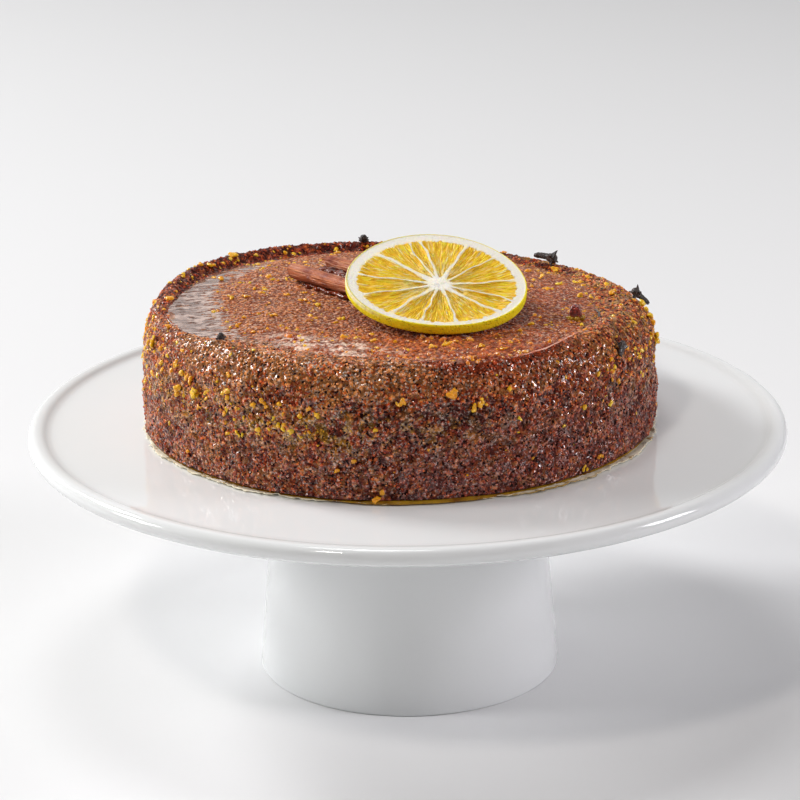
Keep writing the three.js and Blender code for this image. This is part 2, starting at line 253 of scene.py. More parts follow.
class Graph:
    """A node tree being wired up."""

    def __init__(self, tree: NodeTree) -> None:
        """Wraps a tree whose own inputs are already declared."""
        self.tree = tree
        self.entry: bpy.types.Node | None = None

    def node(self, kind: str, inputs: dict[str | int, Any] | None = None, **settings: Any) -> bpy.types.Node:
        """Adds a node.

        Args:
            kind: Type of the node.
            inputs: Values or fields for its inputs, by name or by index.
            settings: Properties of the node itself.

        Returns:
            The new node.
        """
        made = self.tree.nodes.new(kind)
        for key, value in settings.items():
            setattr(made, key, value)
        for key, value in (inputs or {}).items():
            if isinstance(value, Field):
                self.tree.links.new(value.socket, made.inputs[key])
            elif isinstance(value, tuple) and made.inputs[key].type == "RGBA":
                made.inputs[key].default_value = (*value, 1)
            else:
                made.inputs[key].default_value = value
        return made

    def made(
        self, kind: str, inputs: dict[str | int, Any] | None = None, output: str | int = 0, **settings: Any
    ) -> Field:
        """Adds a node and gives one of its outputs."""
        return Field(self, self.node(kind, inputs, **settings).outputs[output])

    def fields(self, node: bpy.types.Node) -> dict[str, Field]:
        """Gives all of a node's outputs by name."""
        return {socket.name: Field(self, socket) for socket in node.outputs}

    def given(self, name: str) -> Field:
        """Gives one of the tree's own inputs."""
        self.entry = self.entry or self.tree.nodes.new("NodeGroupInput")
        return Field(self, self.entry.outputs[name])

    def math(self, operation: str, *values: Any, clamp: bool = False) -> Field:
        """Adds a Math node."""
        return self.made("ShaderNodeMath", dict(enumerate(values)), operation=operation, use_clamp=clamp)

    def vector(self, operation: str, *values: Any) -> Field:
        """Adds a Vector Math node."""
        keys = (0, "Scale") if operation == "SCALE" else range(len(values))
        return self.made("ShaderNodeVectorMath", dict(zip(keys, values)), operation=operation)

    def scale(self, size: float | Field, share: float = 1.0) -> float | Field:
        """Turns a size in metres into a texture's scale."""
        return self.math("DIVIDE", share, size) if isinstance(size, Field) else share / size

    def noise(self, place: Field, size: float | Field, detail: float = 2.0, roughness: float = 0.5) -> Field:
        """Soft noise from about 0 to 1, with blobs of about the given size in metres."""
        inputs = {"Vector": place, "Scale": self.scale(size), "Detail": detail, "Roughness": roughness}
        return self.made("ShaderNodeTexNoise", inputs)

    def cells(self, place: Field, size: float | Field) -> tuple[Field, Field]:
        """How far the middle of a grain is, and each grain's tone, for a size in metres."""
        out = self.fields(self.node("ShaderNodeTexVoronoi", {"Vector": place, "Scale": self.scale(size)}))
        return out["Distance"], self.made("ShaderNodeSeparateXYZ", {0: out["Color"]})

    def sway(self, place: Field, size: Field, often: float, detail: float, reach: float) -> Field:
        """Bends a place to and fro, so that a pattern there winds.

        Args:
            place: The place.
            size: Size of the pattern's grain in metres.
            often: Bends in one grain.
            detail: Detail of the bends.
            reach: How many grains far they reach.

        Returns:
            The bent place.
        """
        inputs = {"Vector": place, "Scale": self.scale(size, often), "Detail": detail}
        off = self.vector("SUBTRACT", self.made("ShaderNodeTexNoise", inputs, "Color"), (0.5, 0.5, 0.5))
        return self.vector("ADD", place, self.vector("SCALE", off, size * reach))

    def blend(self, share: Any, first: Any, second: Any) -> Field:
        """Mixes two colours."""
        inputs = {0: share, 6: first, 7: second}
        return self.made("ShaderNodeMix", inputs, 2, data_type="RGBA", clamp_factor=True)

    def layers(self, base: Any, *coats: tuple[Any, Any]) -> Any:
        """Lays colours over a base one after another, each given by its share and the colour."""
        for share, colour in coats:
            base = self.blend(share, base, colour)
        return base


class Pattern(Enum):
    """Relief patterns that shape a mesh and, finer, its finish."""

    CRUMB = "crumb"
    PORES = "pores"
    GLAZE = "glaze"
    PULP = "pulp"
    BARK = "bark"
    SKIN = "skin"


@dataclass(frozen=True)
class GrainRelief:
    """Rounded grains on ground that swells: crumb, crumb under glaze, or drawn-out fibres.

    Sizes are in grains. Fibres come from a place that is squeezed along them.
    """

    shares: tuple[float, float, float]  # of the grains, the fine grains and the swell in the height
    reach: float  # how far a grain spreads from its middle
    swell: tuple[float, float]  # size and detail
    crevice: tuple[float, float]  # heights between which a crevice begins
    sway: tuple[float, float] | None = None  # bends in a grain, and how far they reach
    fine: tuple[float, float] | None = None  # size and spread
    hole_size: float | None = None

    def build(self, graph: Graph, place: Field, size: Field) -> dict[str, Field]:
        """Builds the pattern.

        Args:
            graph: Tree to build in.
            place: Where the pattern is read.
            size: Size of a grain in metres.

        Returns:
            Height, how deep in a crevice or hole a place lies, and a tone for each grain.
        """
        bent = graph.sway(place, size, self.sway[0], 1.0, self.sway[1]) if self.sway else place
        distance, tone = graph.cells(bent, size)
        swell = graph.noise(place, size * self.swell[0], self.swell[1], 0.6)
        flat_top = 0.08 if self.hole_size else 0.05
        height = distance.ramp(self.reach, flat_top) * self.shares[0]
        if self.fine:
            fine = graph.cells(bent, size * self.fine[0])[0].ramp(self.fine[1], 0.05)
            height = height + fine * self.shares[1]
        height = height + swell * self.shares[2]
        if not self.hole_size:
            return {"Height": height, "Crevice": height.ramp(*self.crevice), "Tone": tone}
        holes = graph.cells(bent, size * self.hole_size)[0].ramp(0.34, 0.1) * swell.ramp(0.62, 0.44)
        height = height + holes * -0.5
        return {"Height": height, "Crevice": height.ramp(*self.crevice) | holes, "Tone": tone}


@dataclass(frozen=True)
class PoreRelief:
    """Open crumb: winding walls with dark pores between them."""

    walls: tuple[float, float] = (0.34, 0.66)
    pore_size: float = 1.3
    tone_size: float = 1.7

    def build(self, graph: Graph, place: Field, size: Field) -> dict[str, Field]:
        """Builds the pattern.

        Args:
            graph: Tree to build in.
            place: Where the pattern is read.
            size: Size of a pore in metres.

        Returns:
            Height, how deep in a pore a place lies, and an uneven tone.
        """
        bent = graph.sway(place, size, 0.6, 2.0, 2.0)
        walls = graph.noise(bent, size, 2.0, 0.55).ramp(*self.walls)
        pore = graph.cells(bent, size * self.pore_size)[0].ramp(0.1, 0.55)
        height = walls * 0.6 + pore * 0.4
        tone = graph.noise(bent, size * self.tone_size, 2.0, 0.6).ramp(0.3, 0.7)
        return {"Height": height, "Crevice": height.ramp(0.54, 0.3), "Tone": tone}


GLAZED = GrainRelief((0.42, 0.22, 0.55), 0.72, (4.0, 3.0), (0.62, 0.36), (0.5, 1.2), (0.5, 0.7))
FIBRES = GrainRelief((0.6, 0.0, 0.6), 0.7, (3.5, 2.0), (0.7, 0.3))
RELIEFS: dict[Pattern, GrainRelief | PoreRelief] = {
    Pattern.CRUMB: GrainRelief((0.5, 0.2, 0.5), 0.62, (5.0, 3.0), (0.62, 0.22), (0.4, 1.6), (0.46, 0.6), 2.7),
    Pattern.PORES: PoreRelief(),
    Pattern.GLAZE: GLAZED,
    Pattern.PULP: FIBRES,
    Pattern.BARK: FIBRES,
    Pattern.SKIN: GLAZED,
}


def shader_group(
    name: str, inputs: dict[str, str], outputs: Sequence[str], build: Callable[[Graph], dict[str, Field]]
) -> NodeTree:
    """A shader group, built the first time it is asked for.

    Args:
        name: Name of the group.
        inputs: Kind of each input by name.
        outputs: Names of its outputs, which are all values.
        build: Wires up the group and gives its outputs by name.

    Returns:
        The group.
    """
    if name in bpy.data.node_groups:
        return bpy.data.node_groups[name]
    tree = bpy.data.node_groups.new(name, "ShaderNodeTree")
    for key, kind in inputs.items():
        tree.interface.new_socket(key, in_out="INPUT", socket_type=f"NodeSocket{kind}")
    for key in outputs:
        tree.interface.new_socket(key, in_out="OUTPUT", socket_type="NodeSocketFloat")
    graph = Graph(tree)
    graph.node("NodeGroupOutput", build(graph))
    return tree


def relief_group(pattern: Pattern) -> NodeTree:
    """The shader group of a relief pattern, with outputs Height, Crevice and Tone.

    Args:
        pattern: Which pattern.

    Returns:
        The group.
    """

    def build(graph: Graph) -> dict[str, Field]:
        """Wires up the pattern."""
        return RELIEFS[pattern].build(graph, graph.given("Vector"), graph.given("Size"))

    inputs = {"Vector": "Vector", "Size": "Float"}
    return shader_group(f"relief_{pattern.value}", inputs, ("Height", "Crevice", "Tone"), build)


def blotch_group() -> NodeTree:
    """The shader group of uneven colour: soft blotches with finer ones inside them.

    Returns:
        The group, with output Blotch.
    """

    def build(graph: Graph) -> dict[str, Field]:
        """Wires up the blotches."""
        raw = graph.noise(graph.given("Vector"), graph.given("Size"), 4.0, 0.6)
        spread = (raw - 0.5) * graph.given("Contrast")
        return {"Blotch": graph.math("ADD", spread, 0.5, clamp=True)}

    inputs = {"Vector": "Vector", "Size": "Float", "Contrast": "Float"}
    return shader_group("uneven_tone", inputs, ("Blotch",), build)


def bake_down(piece: Object) -> Object:
    """Turns a piece's modifiers into plain mesh and takes them off.

    Args:
        piece: The piece.

    Returns:
        The same piece.
    """
    bpy.context.view_layer.update()
    graph = bpy.context.evaluated_depsgraph_get()
    mesh = bpy.data.meshes.new_from_object(
        piece.evaluated_get(graph), preserve_all_data_layers=True, depsgraph=graph
    )
    piece.modifiers.clear()
    old, piece.data = piece.data, mesh
    mesh.name = piece.name
    if old.users == 0:
        bpy.data.meshes.remove(old)
    return piece


def grow(piece: Object, tree: NodeTree, values: dict[str, Any]) -> Object:
    """Runs a geometry nodes tree on a piece and keeps the result as plain mesh.

    Args:
        piece: The piece.
        tree: Geometry nodes tree.
        values: Input values by socket name; they are set by the sockets' identifiers.

    Returns:
        The same piece.
    """
    modifier = piece.modifiers.new("make", "NODES")
    modifier.node_group = tree
    for item in tree.interface.items_tree:
        if item.item_type == "SOCKET" and item.in_out == "INPUT" and item.name in values:
            modifier[item.identifier] = values[item.name]
    return bake_down(piece)


class GrowTree(Graph):
    """A geometry nodes tree with named inputs, from its Geometry in to its Geometry out."""

    def __init__(self, name: str, sizes: dict[str, float | int]) -> None:
        """Opens the tree.

        Args:
            name: Name of the tree.
            sizes: Named number inputs with their usual values.
        """
        super().__init__(bpy.data.node_groups.new(name, "GeometryNodeTree"))
        face = self.tree.interface
        face.new_socket("Geometry", in_out="INPUT", socket_type="NodeSocketGeometry")
        for key, value in sizes.items():
            kind = "NodeSocketInt" if isinstance(value, int) else "NodeSocketFloat"
            face.new_socket(key, in_out="INPUT", socket_type=kind).default_value = value
        face.new_socket("Material", in_out="INPUT", socket_type="NodeSocketMaterial")
        face.new_socket("Geometry", in_out="OUTPUT", socket_type="NodeSocketGeometry")

    def stored(self, name: str, kind: str = "FLOAT") -> Field:
        """Reads a stored attribute."""
        return self.made("GeometryNodeInputNamedAttribute", {"Name": name}, data_type=kind)

    def store(self, geometry: Field, name: str, value: Field) -> Field:
        """Stores a value on the corners and returns the geometry."""
        inputs = {"Geometry": geometry, "Name": name, "Value": value}
        return self.made("GeometryNodeStoreNamedAttribute", inputs, data_type="FLOAT", domain="POINT")

    def move(self, geometry: Field, offset: Field) -> Field:
        """Moves the corners by an offset and returns the geometry."""
        return self.made("GeometryNodeSetPosition", {"Geometry": geometry, "Offset": offset})

    def close(self, geometry: Field) -> NodeTree:
        """Ends the tree with real meshes, smooth shading and the material.

        Args:
            geometry: What the tree has made.

        Returns:
            The tree.
        """
        real = self.made("GeometryNodeRealizeInstances", {"Geometry": geometry})
        soft = self.made("GeometryNodeSetShadeSmooth", {0: real})
        dressed = self.made("GeometryNodeSetMaterial", {"Geometry": soft, "Material": self.given("Material")})
        self.node("NodeGroupOutput", {0: dressed})
        return self.tree


def relief_tree(pattern: Pattern) -> NodeTree:
    """The tree that raises a relief pattern on a mesh along its normals.

    The mesh holds a place for the pattern in the attribute "place", and how strongly it
    shows in the attribute "rough". The height is kept in the attribute "relief".

    Args:
        pattern: Which pattern.

    Returns:
        A tree with inputs Size, Rise and Level.
    """
    name = f"raise_{pattern.value}"
    if name in bpy.data.node_groups:
        return bpy.data.node_groups[name]
    tree = GrowTree(name, {"Size": 0.0012, "Rise": 0.0005, "Level": 0.6})
    height = RELIEFS[pattern].build(tree, tree.stored("place", "FLOAT_VECTOR"), tree.given("Size"))["Height"]
    lift = (height - tree.given("Level")) * tree.given("Rise") * tree.stored("rough")
    offset = tree.vector("SCALE", tree.made("GeometryNodeInputNormal"), lift)
    return tree.close(tree.move(tree.store(tree.given("Geometry"), "relief", height), offset))


def raise_relief(
    piece: Object, pattern: Pattern, sizes: tuple[float, float, float], material: Material
) -> Object:
    """Raises a relief pattern on a piece.

    Args:
        piece: The piece.
        pattern: Which pattern.
        sizes: Size of a grain and how far it rises, in metres, and the height that stays put.
        material: The piece's finish.

    Returns:
        The same piece, as plain mesh.
    """
    size, rise, level = sizes
    return grow(piece, relief_tree(pattern), {"Size": size, "Rise": rise, "Level": level, "Material": material})


def lump_shapes(tree: GrowTree, count: int) -> Field:
    """Makes several uneven lumps, each as an instance.

    Args:
        tree: Tree to build in, with inputs Roundness and Unevenness.
        count: How many different lumps.

    Returns:
        The joined instances.
    """
    gathered = tree.node("GeometryNodeJoinGeometry")
    for number in range(count):
        ball = tree.made("GeometryNodeMeshIcoSphere", {"Radius": 1.0, "Subdivisions": tree.given("Roundness")})
        here = tree.made("GeometryNodeInputPosition")
        moved = tree.vector("ADD", here, (number * 7.3, number * 3.1, 0.0))
        bend = tree.noise(moved, 1.0, 2.0, 0.6) - 0.5
        shaped = tree.move(ball, tree.vector("SCALE", here, bend * tree.given("Unevenness") * 2.0))
        single = tree.made("GeometryNodeGeometryToInstance", {0: shaped})
        tree.tree.links.new(single.socket, gathered.inputs[0])
    return Field(tree, gathered.outputs[0])


def scatter_tree() -> NodeTree:
    """The tree that strews small uneven lumps over a surface.

    The surface holds how densely they lie in the attribute "strew". Each lump keeps a random
    tone in the attribute "tone".

    Returns:
        A tree with inputs Density, Smallest, Largest, Flatness, Unevenness, Clumping,
        Roundness and Seed.
    """
    name, shapes = "strew_lumps", 6
    if name in bpy.data.node_groups:
        return bpy.data.node_groups[name]
    sizes = {"Density": 1000.0, "Smallest": 0.0004, "Largest": 0.0009, "Flatness": 0.6, "Unevenness": 0.5}
    tree = GrowTree(name, {**sizes, "Clumping": 0.0, "Roundness": 1, "Seed": 1})
    given = tree.given
    clump = tree.noise(tree.made("GeometryNodeInputPosition"), 0.006).ramp(0.5, 0.66, -0.9, 2.2)
    clump = clump * given("Clumping") + 1.0
    density = tree.stored("strew") * given("Density") * (clump | 0.0)
    spots = tree.fields(
        tree.node(
            "GeometryNodeDistributePointsOnFaces",
            {"Mesh": given("Geometry"), "Density": density, "Seed": given("Seed")},
            distribute_method="RANDOM",
        )
    )

    def random(low: float, high: float, step: int) -> Field:
        """A random number for each lump."""
        inputs = {2: low, 3: high, 8: given("Seed") + float(step)}
        return tree.made("FunctionNodeRandomValue", inputs, 1, data_type="FLOAT")

    skew = random(0.0, 1.0, 2)
    size = given("Smallest") + (given("Largest") - given("Smallest")) * skew * skew
    thick = size * given("Flatness") * random(0.8, 1.3, 5)
    spin = tree.made("ShaderNodeCombineXYZ", {2: random(0.0, TURN, 4)})
    turn = {0: spots["Rotation"], 1: spin}
    placing = {
        "Points": tree.store(spots["Points"], "tone", random(0.0, 1.0, 1)),
        "Instance": lump_shapes(tree, shapes),
        "Pick Instance": True,
        "Instance Index": tree.math("FLOOR", random(0.0, shapes - 0.01, 6)),
        "Rotation": tree.made("FunctionNodeRotateRotation", turn, rotation_space="LOCAL"),
        "Scale": tree.made("ShaderNodeCombineXYZ", {0: size * random(0.75, 1.45, 3), 1: size, 2: thick}),
    }
    return tree.close(tree.made("GeometryNodeInstanceOnPoints", placing))


# ---- Finishes ----


class Look(Graph):
    """A material being wired up, with its Principled shader ready."""

    def __init__(self, name: str, **shader: Any) -> None:
        """Starts the material.

        Args:
            name: Name of the material.
            shader: Constants for the shader, with underscores for spaces in socket names.
        """
        self.material = bpy.data.materials.new(name)
        self.material.use_nodes = True
        super().__init__(self.material.node_tree)
        self.shader = next(node for node in self.tree.nodes if node.type == "BSDF_PRINCIPLED")
        for key, value in shader.items():
            self.shader.inputs[key.replace("_", " ")].default_value = value
        self.place = self.made("ShaderNodeTexCoord", output="Object")

    def stored(self, name: str, output: str) -> Field:
        """Reads an attribute stored on the piece."""
        settings = {"attribute_name": name, "attribute_type": "GEOMETRY"}
        return self.made("ShaderNodeAttribute", output=output, **settings)

    def __getitem__(self, name: str) -> Field:
        """Reads a stored number."""
        return self.stored(name, "Fac")

    def feed(self, **links: Field) -> None:
        """Links fields into the shader, with underscores for spaces in socket names."""
        for key, value in links.items():
            self.tree.links.new(value.socket, self.shader.inputs[key.replace("_", " ")])

    def bump(self, height: Field, depth: float, strength: float = 1.0) -> None:
        """Feeds a height, in shares of the depth in metres, into the normal."""
        self.feed(Normal=self.made("ShaderNodeBump", {"Height": height, "Distance": depth, "Strength": strength}))

    def relief(self, pattern: Pattern, size: float, on_skin: bool = True) -> dict[str, Field]:
        """Places a relief group, read at the stored place of the skin or at the plain place."""
        inputs = {"Vector": self.stored("place", "Vector") if on_skin else self.place, "Size": size}
        return self.fields(self.node("ShaderNodeGroup", inputs, node_tree=relief_group(pattern)))

    def grain(self, size: float, detail: float = 2.0, roughness: float = 0.5) -> Field:
        """Soft noise over the piece."""
        return self.noise(self.place, size, detail, roughness)

    def painted_glint_mask(self, size: float, low: float, high: float) -> Field:
        """Mask of small flecks of painted glints, where dried syrup would catch the light."""
        return self.grain(size, 1.5).ramp(low, high)

    def blotch(self, size: float, contrast: float) -> Field:
        """Places the uneven tone group."""
        inputs = {"Vector": self.place, "Size": size, "Contrast": contrast}
        return Field(self, self.node("ShaderNodeGroup", inputs, node_tree=blotch_group()).outputs[0])


@dataclass(frozen=True)
class Porcelain:
    """White porcelain under a clear, slightly wavy glaze."""

    white: Colour = (0.84, 0.855, 0.862)
    warm: Colour = (0.82, 0.832, 0.83)
    roughness: float = 0.05
    unevenness: float = 0.03

    def make(self) -> Material:
        """Builds the material.

        Returns:
            The material.
        """
        look = Look("glazed_porcelain", Roughness=self.roughness, IOR=1.5)
        speck = look.grain(0.02, 3.0).ramp(0.3, 0.7, self.roughness, self.roughness + self.unevenness)
        look.feed(Base_Color=look.blend(look.blotch(0.09, 1.5), self.white, self.warm), Roughness=speck)
        look.bump(look.grain(0.03, 1.0) + look.grain(0.006) * 0.06, 0.25 * MM, 0.3)
        return look.material


@dataclass(frozen=True)
class Paper:
    """Cream baking paper, soaked with syrup in places."""

    cream: Colour = (0.98, 0.93, 0.80)
    soft: Colour = (0.90, 0.81, 0.56)
    soaked: Colour = (0.46, 0.27, 0.03)

    def make(self) -> Material:
        """Builds the material.

        Returns:
            The material.
        """
        look = Look("baking_paper", IOR=1.45, Coat_Roughness=0.1)
        wet = look.grain(0.007, 4.0, 0.65).ramp(0.56, 0.62) * 0.8 | look["wet"]
        look.feed(
            Base_Color=look.layers(self.cream, (look.blotch(0.0022, 2.0), self.soft), (wet, self.soaked)),
            Roughness=wet.ramp(0.0, 1.0, 0.6, 0.2),
            Coat_Weight=wet * 0.8,
        )
        look.bump(look.grain(0.002, 3.0), 0.5 * MM, 0.7)
        return look.material


@dataclass(frozen=True)
class CrumbTones:
    """Colours of baked crumb, from the painted shade in its pits to its toasted grains and its painted glints."""

    # The pit colour is painted shade, laid into the crevices.
    pit: Colour = (0.022, 0.003, 0.002)
    maroon: Colour = (0.18, 0.017, 0.008)
    red: Colour = (0.64, 0.080, 0.020)
    orange: Colour = (1.0, 0.21, 0.032)
    tan: Colour = (1.0, 0.40, 0.11)
    soaked: Colour = (0.88, 0.44, 0.03)
    cool: Colour = (0.40, 0.10, 0.085)
    rust: Colour = (0.62, 0.085, 0.018)
    # These two colours are those of painted glints on the crumb.
    frost: Colour = (1.0, 0.82, 0.66)
    painted_lilac_glint: Colour = (0.98, 0.77, 0.72)

    def mix(self, look: Look, tone: Field) -> Field:
        """Mixes the colour of grains from a tone for each of them, with painted light, shade and glints laid over it.

        Args:
            look: Look to build in; its piece holds shares of toast and painted light, rust, soak, cool, painted shade
                and a darker band, and painted glints.
            tone: A number from 0 to 1 for each grain.

        Returns:
            The colour.
        """
        patches = look.blotch(0.007, 2.4).ramp(0.0, 1.0, -0.22, 0.22)
        # Painted light on the upper front raises the tone, painted shade lowers it.
        level = tone + patches + look["toast"] * 0.72 + look["dusk"] * -0.45
        glint_share = look["frost"] * look.blotch(0.005, 2.4).ramp(0.2, 0.8, 0.45, 1.0)
        return look.layers(
            self.maroon,
            (level.ramp(0.0, 0.4), self.red),
            (level.ramp(0.4, 0.8), self.orange),
            (level.ramp(0.8, 1.05) * 0.8, self.tan),
            (look["cool"] * 0.4, self.cool),
            (look["rust"], self.rust),
            (look["soak"] * look.blotch(0.004, 2.6).ramp(0.4, 0.75), self.soaked),
            # Painted glints: pale flecks, lilac where the crust is cool.
            (look.painted_glint_mask(0.95 * MM, 0.56, 0.60) * glint_share, look.blend(look["cool"], self.frost, self.painted_lilac_glint)),
        )


@dataclass(frozen=True)
class Crust:
    """Dark, syrup-soaked crumb of the sides and the rim, with painted shade in its crevices."""

    tones: CrumbTones = CrumbTones()
    grain: float = 1.9 * MM
    pore: float = 1.2 * MM

    def make(self) -> Material:
        """Builds the material.

        Returns:
            The material.
        """
        shine = {"Specular_IOR_Level": 0.1, "Coat_Roughness": 0.12, "Coat_IOR": 1.75}
        look = Look("soaked_crust", IOR=1.45, Roughness=0.6, **shine)
        crumb = look.relief(Pattern.CRUMB, self.grain)
        small = look.relief(Pattern.PORES, self.pore, on_skin=False)
        tone = crumb["Tone"] * 0.35 + small["Tone"] * 0.65
        # Painted shade: the crevices and pores are darkened towards the pit colour.
        crevice = crumb["Crevice"] * 0.7 | small["Crevice"]
        wet = look.blotch(0.004, 2.5).ramp(0.3, 0.6, 0.3, 1.0)
        look.feed(
            Base_Color=look.blend(crevice, self.tones.mix(look, tone.ramp(0.15, 0.85)), self.tones.pit),
            Coat_Weight=wet * crevice.ramp(0.3, 0.8, 1.0, 0.05),
        )
        look.bump(crumb["Height"] * 0.5 + small["Height"], 1.6 * MM)
        return look.material


@dataclass(frozen=True)
class Glaze:
    """Syrup-soaked top: mauve brown, amber at the front and mirror-like in the pool, with painted sheen, painted
    shade in its crevices and a painted reflection in the pool.
    """

    mauve: Colour = (0.72, 0.25, 0.11)
    brown: Colour = (0.56, 0.165, 0.040)
    amber: Colour = (0.74, 0.14, 0.002)
    red: Colour = (0.42, 0.055, 0.016)
    gold: Colour = (0.95, 0.46, 0.05)
    # The pool colour is the syrup lightened to paint the reflection of the bright backdrop.
    pool: Colour = (0.64, 0.44, 0.36)
    # The pit colour is painted shade in the crevices.
    pit: Colour = (0.12, 0.015, 0.005)
    mustard: Colour = (0.66, 0.36, 0.085)
    # The sheen colour is painted sheen and painted reflection.
    sheen: Colour = (1.0, 0.72, 0.56)
    # The ripple colour marks dark ripples and the painted shade in the pool.
    ripple: Colour = (0.11, 0.035, 0.014)
    lump: float = 2.1 * MM
    grain: float = 1.1 * MM

    def streaks(self, look: Look, turn: float, size: float) -> Field:
        """Drawn-out noise, with the streaks turned by an angle in degrees."""
        inputs = {"Vector": look.place, "Rotation": (0.0, 0.0, math.radians(turn)), "Scale": (0.4, 1.0, 1.0)}
        return look.noise(look.made("ShaderNodeMapping", inputs), size, 3.0, 0.6)

    def make(self) -> Material:
        """Builds the material.

        Returns:
            The material.
        """
        look = Look("syrup_glaze", IOR=1.45, Specular_IOR_Level=0.15, Coat_Roughness=0.07, Coat_IOR=1.65)
        lumps = look.relief(Pattern.GLAZE, self.lump)
        grains = look.relief(Pattern.PORES, self.grain, on_skin=False)
        tone, front, sparkle = grains["Tone"], look["amber"], look["sparkle"]
        amber = front * look.blotch(0.006, 2.4).ramp(0.2, 0.7, 0.45, 1.0)
        lines = self.streaks(look, 38, 1.6 * MM).ramp(0.48, 0.34) * 0.55
        # Dark streaks, and painted shade in the crevices of the lumps and grains.
        dark = lines | lumps["Crevice"] | grains["Crevice"] * 0.28
        # Painted sheen: pale flecks, fewer towards the amber front.
        sheen_flecks = look.painted_glint_mask(0.95 * MM, 0.54, 0.62) * front.ramp(0.2, 1.0, 0.45, 0.12)
        # Sheets of painted reflection where the syrup sparkles, at the front left.
        sheet = look.blotch(0.005, 2.8).ramp(0.35, 0.65) * sparkle.ramp(0.1, 0.8)
        sheet = sheet * self.streaks(look, 25, 1.6 * MM).ramp(0.42, 0.52, 0.08, 1.0)
        ripple = self.streaks(look, -12, 1.7 * MM)
        # The pool's painted reflection, broken by dark ripples and patches of painted shade.
        pool = (look["pool"] + (ripple - 0.5) * 3.4).ramp(0.3, 0.7) * look["pool"].ramp(0.0, 0.3)
        shade = ripple.ramp(0.53, 0.43) | look.blotch(0.008, 2.8).ramp(0.35, 0.8, 0.0, 0.75)
        base = look.layers(
            self.mauve,
            (look.blotch(0.012, 2.4), self.brown),
            (look["mustard"] * look.blotch(0.006, 2.2).ramp(0.2, 0.7), self.mustard),
            (amber, self.amber),
            ((look["rust"] | sparkle * 0.55) * 0.75, self.red),
            (tone.ramp(0.6, 0.9) * 0.25, self.gold),
            (tone.ramp(0.42, 0.12) * 0.3, self.red),
            (dark * 0.8, self.pit),
            (sheen_flecks | sheet, self.sheen),
            (pool, look.blend(shade, self.pool, self.ripple)),
        )
        wet = pool | sparkle | amber * 0.45
        glints = look.blotch(0.0035, 2.6).ramp(0.35, 0.6, 0.1, 1.0)
        look.feed(
            Base_Color=base,
            Roughness=look.blotch(0.004, 2.0).ramp(0.2, 0.8, 0.7, 0.5) * pool.ramp(0.0, 1.0, 1.0, 0.25),
            Coat_Weight=wet.ramp(0.05, 0.8, 0.1, 1.0) * (pool * ripple.ramp(0.4, 0.52, 0.1, 1.0) | glints),
        )
        height = (lumps["Height"] + grains["Height"] * 0.4) * pool.ramp(0.2, 0.9, 1.0, 0.03)
        look.bump(height + ripple * pool * 0.6, 1.1 * MM)
        return look.material


@dataclass(frozen=True)
class Crumb:
    """Loose grains of crumb that stand on the crust."""

    name: str
    coat: float
    lowest: float
    highest: float
    tones: CrumbTones = CrumbTones()

    def make(self) -> Material:
        """Builds the material.

        Returns:
            The material.
        """
        shine = {"Specular_IOR_Level": 0.1, "Coat_Roughness": 0.08, "Coat_IOR": 1.55}
        look = Look(self.name, IOR=1.45, Roughness=0.6, **shine)
        base = self.tones.mix(look, look["tone"].ramp(0.0, 1.0, self.lowest, self.highest))
        look.feed(
            Base_Color=look.blend(look.blotch(0.0009, 2.4).ramp(0.45, 0.1) * 0.5, base, self.tones.maroon),
            Coat_Weight=look.blotch(0.004, 2.5).ramp(0.3, 0.6, 0.15, self.coat),
        )
        look.bump(look.grain(0.9 * MM), 0.5 * MM)
        return look.material


@dataclass(frozen=True)
class GlazeGrain:
    """Grains of crumb soaked in the top's syrup."""

    dark: Colour = (0.26, 0.022, 0.006)
    brown: Colour = (0.52, 0.12, 0.026)
    orange: Colour = (0.88, 0.24, 0.010)
    amber: Colour = (0.98, 0.42, 0.012)
    glint: Colour = (1.0, 0.80, 0.66)

    def make(self) -> Material:
        """Builds the material.

        Returns:
            The material.
        """
        shine = {"Specular_IOR_Level": 0.25, "Coat_Roughness": 0.06, "Coat_IOR": 1.6}
        depth = {"Subsurface_Weight": 0.15, "Subsurface_Scale": MM, "Subsurface_Radius": (1.0, 0.4, 0.1)}
        look = Look("glaze_grain", IOR=1.45, Roughness=0.5, **shine, **depth)
        tone, front = look["tone"], look["amber"]
        base = look.layers(
            self.dark,
            (tone.ramp(0.05, 0.4), self.brown),
            ((tone + front * 0.25).ramp(0.5, 0.95), self.orange),
            (front * look.blotch(0.005, 2.4).ramp(0.35, 0.75) * 0.8, self.amber),
            (look.painted_glint_mask(0.8 * MM, 0.58, 0.64) * 0.8, self.glint),
        )
        wet = (front | look["sparkle"]).ramp(0.0, 0.8, 0.3, 1.0)
        look.feed(Base_Color=base, Coat_Weight=wet * look.blotch(0.0035, 2.6).ramp(0.3, 0.6, 0.35, 1.0))
        look.bump(look.grain(0.9 * MM), 0.4 * MM)
        return look.material


@dataclass(frozen=True)
class Zest:
    """Candied bits of orange zest."""

    yellow: Colour = (1.0, 0.64, 0.008)
    orange: Colour = (1.0, 0.38, 0.001)
    burnt: Colour = (0.62, 0.22, 0.005)

    def make(self) -> Material:
        """Builds the material.

        Returns:
            The material.
        """
        shine = {"Specular_IOR_Level": 0.4, "Coat_Weight": 0.6, "Coat_Roughness": 0.08, "Coat_IOR": 1.6}
        depth = {"Subsurface_Weight": 0.3, "Subsurface_Scale": 1.5 * MM, "Subsurface_Radius": (1.0, 0.5, 0.1)}
        look = Look("candied_zest", IOR=1.45, Roughness=0.35, **shine, **depth)
        shade = look["tone"] * 0.7 + look.blotch(0.003, 2.0) * 0.4
        speck = look.blotch(0.0011, 2.6).ramp(0.55, 0.95) * 0.6
        look.feed(Base_Color=look.layers(self.yellow, (shade.ramp(0.0, 0.9), self.orange), (speck, self.burnt)))
        look.bump(look.grain(0.9 * MM), 0.5 * MM)
        return look.material


